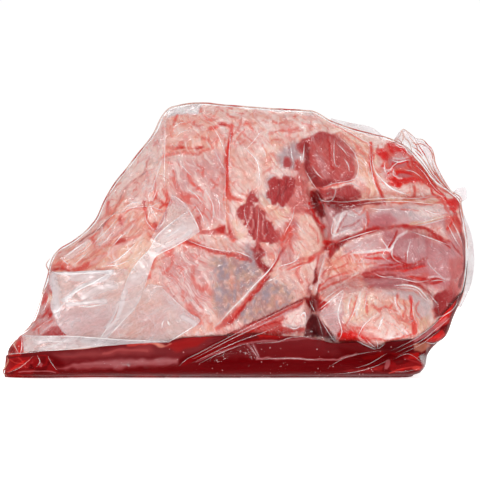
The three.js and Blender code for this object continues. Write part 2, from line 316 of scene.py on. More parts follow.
# The left slab, its flank and the pucker in its film
SLAB_PAINT = (
    patch("hazy", 0.85, 4, (-156, 84), (-120, 86), (-92, 90), (-66, 110), (-56, 140), (-40, 136), (-33, 118),
          (-60, 100), (-74, 80), (-50, 62), (-30, 46), (-56, 28), (-176, 18), (-178, 34), (-158, 40)),
    patch("pale", 0.8, 5, (-122, 122), (-100, 152), (-70, 196), (-76, 172), (-96, 146), (-110, 126)),
    patch("cream", 0.8, 5, (-120, 94), (-82, 92), (-78, 110), (-100, 112)),
    patch("salmon", 0.55, 7, (-140, 96), (-100, 130), (-62, 140), (-66, 116), (-100, 92), (-132, 84)),
    patch("cream", 0.5, 9, (-100, 92), (-70, 118), (-50, 112), (-76, 92), (-95, 80)),
    patch("salmon", 0.5, 5, (-60, 210), (-20, 210), (-18, 184), (-60, 180)),
    patch("silver", 0.9, 0.9, (-61, 214), (-60, 207), (-52, 211), (-34, 212), (-32, 220), (-52, 220)),
    patch("glare", 0.8, 1.2, (-58, 213), (-50, 212), (-35, 213), (-34, 217), (-50, 217)),
    patch("dusky", 0.8, 6, (-60, 176), (-14, 178), (-14, 124), (-30, 124), (-52, 140)),
    patch("rose", 0.5, 6, (-150, 54), (-104, 56), (-102, 36), (-142, 32)),
    patch("salmon", 0.4, 6, (-86, 58), (-66, 64), (-60, 44), (-78, 30), (-98, 30)),
    patch("pink", 0.45, 4, (-82, 52), (-60, 52), (-60, 34), (-78, 33)),
    patch("rose", 0.8, 3, (-158, 86), (-150, 88), (-149, 48), (-138, 35), (-176, 34), (-166, 50), (-161, 66)),
    patch("scarlet", 0.9, 0.8, (-159.5, 68), (-156, 67), (-154.5, 63), (-157, 60), (-160.5, 62)),
    patch("cream", 0.9, 0.8, (-154, 68), (-151, 69), (-151, 62), (-155, 60.5), (-157, 62)),
    patch("lean_light", 0.8, 1.0, (-159, 57), (-152, 58), (-151, 52), (-157, 50)),
    patch("blood", 0.8, 0.9, (-156, 53), (-152, 53.5), (-152.5, 50), (-155, 49.5)),
    patch("lean", 0.85, 0.8, (-160, 34.5), (-148, 43.5), (-145, 42), (-139, 35.5), (-140, 34)),
    stroke("wet", 0.8, 0.7, (-166, 45), (-164, 42), (-163, 37)),
    stroke("wet", 0.8, 0.8, (-168, 38), (-160, 44), (-152, 47)),
    stroke("blood", 0.7, 0.6, (-165, 48), (-159, 50), (-155, 56)),
    stroke("wet", 0.7, 0.6, (-161, 58), (-158, 60), (-152, 60)),
    stroke("blood", 0.8, 0.7, (-157, 73), (-155, 70), (-152, 69)),
    patch("salmon", 0.8, 1.2, (-158, 92), (-146, 96), (-136, 92), (-140, 86), (-155, 84)),
    stroke("blood", 0.8, 0.8, (-156.5, 90), (-154, 86), (-146, 87.5), (-138, 86)),
    stroke("wet", 0.7, 0.7, (-155, 88), (-148, 90), (-142, 88)),
    patch("blood", 0.85, 1.2, (-190, 20), (-174, 19), (-175, 33), (-180, 34), (-186, 30)),
    patch("tan", 0.7, 0.7, (-183, 31), (-180, 31), (-181, 25), (-184, 26)),
    patch("deep", 0.7, 0.8, (-188, 24), (-183, 26), (-182, 20), (-188, 20)),
    patch("scarlet", 0.8, 0.7, (-180, 30), (-176, 31), (-176, 21), (-179, 22)),
    stroke("lean_dark", 0.6, 0.45, (-132, 108), (-118, 117.5), (-109, 125), (-101, 138), (-95, 149),
          (-88, 158), (-77, 166)),
    stroke("wet", 0.6, 0.6, (-130, 106), (-116, 116), (-106, 126), (-99, 138), (-93, 149)),
    stroke("deep", 0.7, 0.45, (-94, 150.5), (-90, 154.5), (-87, 158)),
    patch("wet", 0.7, 0.9, (-93, 150), (-90, 152), (-87, 157), (-91, 154)),
    stroke("wet", 0.5, 0.6, (-126, 118), (-116, 132), (-108, 146), (-98, 156)),
    stroke("wet", 0.85, 1.3, (-108, 141), (-108.5, 136), (-107, 131)),
    stroke("wet", 0.6, 0.9, (-98, 141), (-104, 134), (-109, 130), (-116, 125)),
    patch("wet", 0.8, 0.8, (-120, 113), (-118.5, 112), (-116, 107.5), (-120, 108)),
    patch("blood", 0.75, 1.2, (-100, 111), (-93, 112), (-91, 108.5), (-98, 105), (-101, 107)),
    patch("wet", 0.6, 1.5, (-97, 131), (-93, 128), (-95, 122), (-100, 120), (-98, 126)),
    stroke("blood", 0.6, 1.2, (-97.5, 130), (-97, 126), (-95.5, 122.5)),
    stroke("wet", 0.55, 1.6, (-131, 87), (-124, 88), (-117, 94), (-108, 100)),
    patch("wet", 0.75, 1.4, (-136, 87), (-128, 90), (-120, 94), (-126, 88), (-132, 84.5)),
    stroke("wet", 0.5, 1.8, (-147, 91), (-138, 88.5), (-132, 87)),
    stroke("wet", 0.35, 1.1, (-130, 92), (-112, 104), (-96, 117), (-82, 128)),
    stroke("wet", 0.35, 1.0, (-124, 90), (-104, 103), (-86, 114)),
    stroke("wet", 0.3, 0.9, (-113, 96), (-92, 108), (-74, 120)),
    stroke("pink", 0.6, 1.6, (-118, 104), (-100, 116), (-84, 122)),
    stroke("pale", 0.6, 1.4, (-120, 92), (-100, 104), (-80, 113)),
    stroke("pale", 0.55, 1.2, (-112, 90), (-96, 97), (-84, 104)),
    stroke("wet", 0.5, 0.8, (-77, 134), (-83, 136), (-92, 133), (-97, 129)),
    patch("rose", 0.6, 3, (-92, 152), (-80, 158), (-78, 146), (-92, 140)),
    stroke("wet", 0.4, 1.2, (-78, 160), (-86, 158), (-92, 151), (-97, 143)),
    # Pucker: a lens of film with red edges and a burst beside it
    stroke("blood", 0.75, 0.8, (-78.5, 142), (-78.8, 139), (-77.5, 136)),
    stroke("wet", 0.85, 1.2, (-76.5, 135), (-76, 127), (-73.5, 122.5), (-69, 118.5), (-66.5, 118)),
    stroke("blood", 0.7, 1.6, (-69, 124), (-67, 119.5), (-65.5, 119)),
    stroke("wet", 0.75, 1.0, (-66.5, 118.5), (-63.5, 124), (-61, 131), (-60.5, 136)),
    patch("wet", 0.8, 0.7, (-64, 142), (-60, 141), (-56, 144), (-56.5, 138.5), (-61, 137), (-64, 139)),
    stroke("blood", 0.8, 0.6, (-66, 141), (-61, 139.5), (-56.5, 142.5)),
    stroke("wet", 0.85, 0.7, (-66, 136), (-61, 141), (-60, 147.5)),
    stroke("wet", 0.8, 0.7, (-71, 146), (-66, 142.5), (-60, 140)),
    stroke("wet", 0.8, 0.6, (-64, 150), (-60.5, 145), (-56, 140.5)),
    stroke("wet", 0.7, 0.6, (-80, 142), (-74, 140), (-70, 143)),
    stroke("wet", 0.7, 0.6, (-73, 136), (-68, 134), (-62, 134)),
    stroke("wet", 0.55, 0.9, (-70, 160), (-70, 150), (-68, 143)),
    stroke("wet", 0.5, 0.8, (-75, 176), (-77, 168), (-76, 158), (-78, 147)),
    stroke("wet", 0.5, 0.9, (-61, 150), (-58, 145), (-54, 141)),
    patch("pale", 0.5, 1.5, (-75, 134), (-68, 131), (-64, 133), (-67, 124), (-73, 126)),
    # Salmon bands and short cuts in the fat at the top
    stroke("wet", 0.5, 1.2, (-62, 177), (-56, 179.5), (-46, 180.5), (-38, 180), (-26, 182)),
    stroke("wet", 0.45, 0.8, (-61, 184.5), (-54, 183.5), (-49, 185), (-42, 184), (-30, 185)),
    stroke("blood", 0.6, 1.0, (-51, 184.5), (-47, 184.5)),
    stroke("blood", 0.6, 1.0, (-36, 183.5), (-31, 185)),
    patch("wet", 0.8, 0.6, (-53.5, 211), (-51.5, 211), (-53, 206), (-55, 203), (-54.5, 207)),
    stroke("wet", 0.6, 1.1, (-38, 205), (-36, 200.5), (-31, 202)),
    stroke("blood", 0.6, 0.9, (-35, 201), (-31, 201.5)),
    stroke("wet", 0.8, 1.3, (-25, 200.5), (-20, 201), (-16, 203.5), (-10, 202)),
    stroke("blood", 0.6, 0.9, (-18, 204), (-13, 202.5)),
    stroke("wet", 0.65, 1.0, (-31, 192), (-27, 190.5), (-23.5, 187), (-22.5, 183)),
    stroke("wet", 0.4, 1.6, (-44, 197), (-46, 191), (-50, 187)),
    stroke("wet", 0.3, 1.5, (-30, 210), (-26, 206), (-22, 209)),
    stroke("wet", 0.6, 0.7, (-36, 171), (-32, 169), (-31, 165)),
    stroke("wet", 0.6, 0.6, (-35, 166), (-32, 164), (-30, 161)),
    stroke("wet", 0.6, 0.5, (-38, 199.2), (-30, 199.6), (-22, 199), (-19, 201)),
    stroke("wet", 0.5, 0.5, (-46, 196), (-44, 193), (-42, 196)),
    stroke("wet", 0.5, 0.5, (-49, 207), (-46, 204), (-40, 206)),
    stroke("wet", 0.5, 0.5, (-28, 208), (-24, 206), (-18, 208)),
    stroke("wet", 0.6, 0.6, (-19, 217.5), (-14, 217.8), (-8, 216.8)),
    stroke("wet", 0.6, 0.6, (-12, 212), (-10, 209), (-6, 208)),
    stroke("wet", 0.6, 0.5, (3, 204), (6, 202), (9, 200)),
    stroke("wet", 0.5, 0.5, (-4, 192), (0, 196), (3, 199)),
    stroke("wet", 0.5, 0.5, (24, 206), (30, 204), (37, 205)),
    stroke("wet", 0.5, 0.5, (24, 190), (28, 191), (32, 190)),
    stroke("wet", 0.5, 0.5, (-18, 196), (-14, 193), (-13, 188)),
    stroke("wet", 0.6, 0.5, (-4, 186), (0, 188), (4, 192)),
    stroke("wet", 0.5, 0.5, (-23, 152), (-21, 155), (-17, 155.5)),
    stroke("wet", 0.6, 0.6, (-43, 163), (-41, 158), (-37, 154)),
    stroke("wet", 0.5, 0.6, (-36, 152), (-31, 149), (-30, 146)),
    stroke("wet", 0.5, 0.6, (-55, 166), (-53, 158), (-50, 151)),
    stroke("wet", 0.5, 0.5, (-26, 146), (-24, 140), (-25, 134)),
    stroke("wet", 0.5, 0.5, (-31, 143), (-30, 136), (-33, 130)),
    stroke("wet", 0.5, 0.6, (9, 171), (11, 168), (10, 165)),
    stroke("wet", 0.6, 0.5, (9, 182), (10, 177), (9, 173)),
    stroke("wet", 0.5, 0.5, (-3, 178), (0, 175), (4, 176)),
    stroke("wet", 0.5, 0.5, (-5, 163), (-2, 158), (2, 156)),
    stroke("wet", 0.65, 0.9, (-42, 161), (-38, 156), (-33, 152), (-30, 149)),
    stroke("wet", 0.6, 0.8, (-24, 159), (-22, 157), (-20, 154)),
    patch("wet", 0.5, 1.3, (-50, 149), (-41, 148.5), (-40.5, 144), (-43, 139.5), (-47, 144)),
    stroke("wet", 0.35, 1.5, (-56, 160), (-52, 150), (-47, 142)),
    stroke("pink", 0.6, 1.5, (-47, 175), (-40, 162), (-30, 155)),
    stroke("pale", 0.5, 2.0, (-36, 160), (-28, 150), (-26, 138)),
    stroke("pale", 0.5, 2.2, (-52, 201), (-42, 198), (-30, 200)),
    stroke("pale", 0.45, 2.0, (-57, 190), (-46, 193), (-36, 196)),
    # The tall fold down the middle and the smear at its foot
    stroke("wet", 0.8, 1.0, (-7.5, 203), (-9, 196), (-10, 188), (-12, 180), (-12.2, 165), (-11.5, 152)),
    stroke("blood", 0.35, 0.7, (-12, 178), (-12.2, 168)),
    patch("wet", 0.75, 1.0, (-12, 152), (-9.5, 150), (-6, 144.5), (-3, 142.5), (-9, 142), (-12.5, 143)),
    stroke("wet", 0.5, 0.9, (-12.5, 144), (-12, 134), (-11, 124), (-10, 116)),
    stroke("pink", 0.6, 1.6, (-15, 172), (-17, 160), (-15, 146)),
    stroke("rose", 0.5, 1.6, (-20, 182), (-17, 172), (-14, 165)),
    patch("wet", 0.85, 1.3, (-22, 118), (-17, 121), (-12, 122.5), (-9.5, 117), (-3, 110), (-7, 108),
          (-12, 113.5), (-20, 115)),
    patch("blood", 0.7, 1.0, (-16, 119.5), (-13, 120), (-12.5, 115.5), (-16, 115.5)),
    stroke("wet", 0.55, 1.6, (-34, 117), (-28, 116), (-21, 117)),
    stroke("blood", 0.6, 1.3, (-34.5, 128), (-33.5, 124), (-31.5, 120)),
    # The mottled middle below the long curved fold
    patch("dusky", 0.9, 6, (-62, 100), (-30, 104), (-24, 60), (-36, 44), (-60, 62)),
    stroke("wet", 0.7, 1.6, (-50, 108.5), (-44, 111), (-38, 110), (-33, 107)),
    patch("wet", 0.8, 0.8, (-47, 109), (-42, 112.3), (-37, 110), (-32.5, 109), (-33, 105), (-40, 107.5)),
    stroke("wet", 0.6, 1.2, (-38, 109), (-28, 104.5), (-18, 101), (-8, 99.5)),
    stroke("wet", 0.65, 1.5, (-10, 99.5), (-3, 100), (3, 98.5), (9, 95.5)),
    stroke("wet", 0.6, 1.8, (-60, 102), (-58, 100), (-56, 104)),
    stroke("wet", 0.5, 1.4, (-68, 97), (-71, 92), (-71, 88)),
    patch("wet", 0.7, 1.0, (-75, 79), (-71, 79.5), (-72, 85)),
    stroke("wet", 0.4, 1.2, (-55, 99), (-56, 90), (-62, 84)),
    stroke("wet", 0.45, 1.5, (-39, 90), (-38.5, 82), (-36, 76), (-31, 71)),
    stroke("wet", 0.4, 2.4, (-28, 73), (-24, 69), (-24, 64)),
    stroke("wet", 0.4, 1.3, (-47, 71), (-46, 62), (-41, 54), (-38, 48)),
    stroke("wet", 0.4, 1.3, (-42, 60), (-38, 52), (-32, 44)),
    stroke("wet", 0.35, 1.4, (-36, 66), (-32, 56), (-28, 47)),
    stroke("pale", 0.6, 2.0, (-58, 77), (-52, 68), (-46, 58)),
    stroke("pale", 0.5, 1.6, (-27, 62), (-29, 54), (-30, 47)),
    stroke("pale", 0.5, 1.5, (-38, 101), (-33, 92), (-30, 84)),
    patch("salmon", 0.5, 3, (-22, 98), (-8, 92), (-6, 86), (-20, 88)),
    patch("fat", 0.75, 3, (-98, 148), (-86, 161), (-75, 162), (-77, 146), (-90, 138)),
    patch("salmon", 0.4, 3, (-112, 128), (-100, 146), (-90, 142), (-100, 124)),
)

# The grey patch where the fat thins over the muscle, and the fat beside it
MOTTLE_PAINT = (
    patch("ash", 0.9, 6, (-22, 96), (6, 97), (22, 82), (14, 60), (-6, 48), (-20, 54)),
    patch("ash", 0.85, 5, (4, 74), (24, 80), (40, 72), (38, 58), (10, 44), (-6, 46)),
    patch("slate", 0.7, 4, (-20, 95), (-10, 94), (-9, 84), (-18, 83)),
    patch("slate", 0.55, 4, (-3, 96), (8, 93), (12, 84), (0, 82)),
    patch("slate", 0.6, 4, (-22, 74), (-12, 74), (-10, 66), (-20, 65)),
    patch("slate", 0.55, 3, (-18, 58), (-11, 57), (-12, 51), (-17, 51)),
    patch("slate", 0.6, 4, (12, 73), (34, 72), (38, 66), (18, 64)),
    patch("slate", 0.5, 3, (0, 60), (9, 58), (10, 52), (1, 52)),
    patch("salmon", 0.6, 3, (-12, 88), (-7, 84), (-4, 72), (-10, 74)),
    patch("salmon", 0.5, 3, (26, 70), (34, 66), (33, 58), (26, 62)),
    patch("salmon", 0.4, 3, (-6, 66), (2, 68), (4, 60), (-4, 58)),
    patch("fat", 0.6, 3, (-14, 54), (-4, 46), (6, 44), (2, 40), (-12, 44)),
    patch("fat", 0.7, 4, (24, 88), (46, 92), (52, 78), (44, 62), (38, 74)),
)
MOTTLED = patch("ash", 1, 5, (-24, 98), (6, 98), (22, 86), (42, 76), (41, 56), (12, 44), (-16, 46), (-24, 60))

# The long red fold and the pale corner beside the crevice
FOLD_PAINT = (
    patch("pale", 0.85, 2.2, (31, 41), (34, 49), (41, 55), (49, 56), (53, 49), (50, 41), (42, 38)),
    patch("pink", 0.5, 1.5, (34, 53), (38, 57), (44, 60), (42, 54)),
    stroke("glare", 0.7, 1.3, (45, 50), (49, 53), (50, 48)),
    stroke("wet", 0.5, 1.4, (47, 90), (44, 84), (48, 78)),
    stroke("wet", 0.8, 1.2, (35, 105), (28, 94), (20, 83), (12, 73), (3, 62), (-6, 51), (-13, 43)),
    stroke("blood", 0.75, 0.7, (34, 104), (28, 93), (21, 84), (13, 74), (4, 63), (-4, 53)),
    stroke("wet", 0.6, 1.6, (-6, 50), (-14, 44), (-20, 41)),
    # Painted highlight: a pale line beside the long red fold
    stroke("pale", 0.5, 1.2, (24, 92), (16, 82), (8, 73), (-2, 62), (-12, 52)),
    stroke("pink", 0.6, 2.0, (-20, 37), (-12, 37), (0, 40), (8, 43)),
    patch("lean_light", 0.75, 1.0, (52, 64), (38, 59), (20, 50), (4, 42), (0, 37.5), (18, 44), (34, 51),
          (47, 57)),
    stroke("deep", 0.6, 0.6, (52.5, 64.5), (38.8, 59.3), (20.5, 50.2), (4.5, 42.2), (-5, 37)),
    patch("silver", 0.6, 1.2, (24, 49), (38, 55), (46, 59), (44, 56), (34, 50)),
    stroke("wet", 0.4, 1.2, (52, 80), (54, 74), (53, 68)),
    stroke("wet", 0.5, 1.2, (38, 92), (46, 94), (54, 97)),
)

# The dark muscle that shows through gaps in the fat
MUSCLE_PAINT = (
    patch("slate", 0.55, 3, (28, 178), (33, 184), (44, 188), (48, 178), (44, 166), (32, 166)),
    patch("slate", 0.45, 3, (20, 160), (26, 162), (25, 152), (20, 148)),
    patch("slate", 0.4, 3, (14, 148), (22, 146), (24, 138), (16, 140)),
    patch("slate", 0.4, 3, (24, 122), (32, 118), (30, 110), (22, 112)),
    patch("slate", 0.55, 3, (2, 108), (10, 106), (14, 98), (10, 88), (4, 96)),
    patch("lean_light", 0.85, 1.6, (40, 159), (50, 158), (55, 149), (57, 136), (51, 131), (41, 131),
          (35, 138)),
    patch("lean", 0.95, 0.4, (23, 157), (28, 160.5), (32.5, 158), (34, 162.5), (37.5, 162.5), (41.5, 157),
          (40, 150), (36.5, 144), (33, 138.5), (30, 141), (26, 139), (24.5, 144), (21, 146), (20.5, 149),
          (24, 151)),
    patch("lean", 0.95, 0.4, (3, 140), (5, 146), (8, 150), (11, 149.5), (13.5, 144), (12.5, 140), (8, 139)),
    patch("lean", 0.95, 0.4, (-4.5, 132), (-1, 137), (4, 140), (9, 138.5), (14, 136.5), (20, 132.5),
          (20.5, 127), (24, 124), (23.5, 120), (28.5, 117.5), (26, 113), (20, 112.5), (21, 109), (13, 108.5),
          (7.5, 109.5), (9.5, 113), (5, 114), (5.5, 119), (1, 123), (2.5, 126), (-3, 127.5)),
    patch("lean", 0.9, 1.2, (7, 102), (8, 107), (13, 108), (18, 104), (19, 99), (15, 96), (20, 90), (27, 87),
          (18, 85), (13, 90), (11, 96)),
    patch("maroon", 0.75, 0.8, (9, 106), (15, 108), (17, 101), (14, 96), (19, 91), (25, 87), (18, 85.5),
          (13, 90), (11, 97)),
    patch("lean", 0.95, 0.4, (21, 158), (27, 162), (32, 160), (33.5, 164.5), (38.5, 164.5), (43, 158),
          (42.5, 150), (38, 143), (33, 137), (29.5, 140), (25, 137.5), (23, 143), (19.5, 145), (19, 150),
          (22.5, 152)),
    patch("lean", 0.95, 0.4, (18, 127), (24, 126), (27, 121), (31, 118.5), (32, 112), (27, 109), (22, 108),
          (18, 113)),
    stroke("lean_light", 0.7, 1.2, (12.5, 138), (13, 126), (12, 114), (13, 100)),
    stroke("pink", 0.5, 0.7, (8, 137), (7, 130), (4, 124)),
    stroke("pink", 0.45, 0.6, (9, 128), (8, 118)),
    stroke("pink", 0.4, 0.6, (18, 130), (16, 120), (18, 112)),
    stroke("lean_dark", 0.4, 0.8, (30, 158), (30, 150), (28, 143)),
    stroke("lean_dark", 0.4, 0.8, (36, 160), (35, 152), (31, 146)),
    stroke("lean_dark", 0.35, 0.8, (10, 134), (10.5, 124), (9, 115)),
    stroke("lean_dark", 0.35, 0.8, (17, 129), (19, 121), (21, 116)),
    patch("lean", 0.85, 1.2, (33, 172), (34, 177), (39, 175.5), (40.5, 170), (38, 167), (34, 167.5)),
    patch("lean", 0.8, 1.4, (43, 184), (45, 188.5), (50, 188), (50, 181), (46, 180)),
    patch("lean_light", 0.75, 1.4, (43, 172), (47, 178), (50, 168), (52, 158), (45, 160), (42, 166)),
    patch("blood", 0.5, 1.4, (43, 172), (45, 173), (45, 160), (48, 156), (43, 159)),
    patch("glare", 0.6, 1.6, (45, 177), (49, 178), (49, 172), (46, 172)),
    patch("lean_light", 0.55, 3, (26, 120), (44, 128), (52, 120), (40, 104), (28, 106)),
    patch("mauve", 0.6, 2, (40, 126), (45, 125), (48, 120), (42, 121)),
    patch("mauve", 0.5, 3, (28, 102), (40, 104), (46, 94), (34, 91)),
    stroke("wet", 0.7, 0.9, (39, 125), (36, 119), (33, 113), (33, 106)),
    stroke("wet", 0.5, 0.8, (42, 122), (37, 118), (34, 110)),
    stroke("wet", 0.5, 1.4, (22, 131), (26, 129)),
    stroke("wet", 0.5, 1.0, (15, 171), (16, 166), (18, 163), (16, 161)),
    stroke("wet", 0.5, 1.1, (15, 163), (20, 165), (25, 168)),
    stroke("wet", 0.4, 1.0, (16, 171), (20, 172)),
    stroke("wet", 0.4, 1.0, (8, 184), (12, 177), (15, 171)),
    stroke("wet", 0.45, 1.0, (22, 195), (30, 198), (38, 198), (45, 200)),
    stroke("wet", 0.45, 1.1, (2, 202), (6, 204), (9, 200)),
    stroke("wet", 0.4, 0.9, (-8, 195), (-3, 199), (0, 206)),
    stroke("wet", 0.35, 0.9, (-6, 188), (-1, 192)),
    stroke("wet", 0.45, 1.3, (0, 168), (4, 160), (8, 158)),
    stroke("pale", 0.8, 1.7, (2, 184), (7, 180), (13, 175), (15, 168), (15.5, 156)),
    stroke("pale", 0.7, 2.5, (-2, 160), (0, 152), (6, 152)),
    stroke("pale", 0.7, 2.2, (-6, 140), (-6, 134), (-8, 128)),
    stroke("cream", 0.7, 2.5, (-6, 124), (-2, 118), (0, 110)),
    stroke("cream", 0.8, 2.2, (16, 144), (24, 135), (30, 130), (36, 134)),
    stroke("pale", 0.8, 2.0, (26, 165), (34, 165), (42, 163)),
    stroke("pale", 0.8, 2.0, (-2, 108), (6, 109), (9, 105)),
)
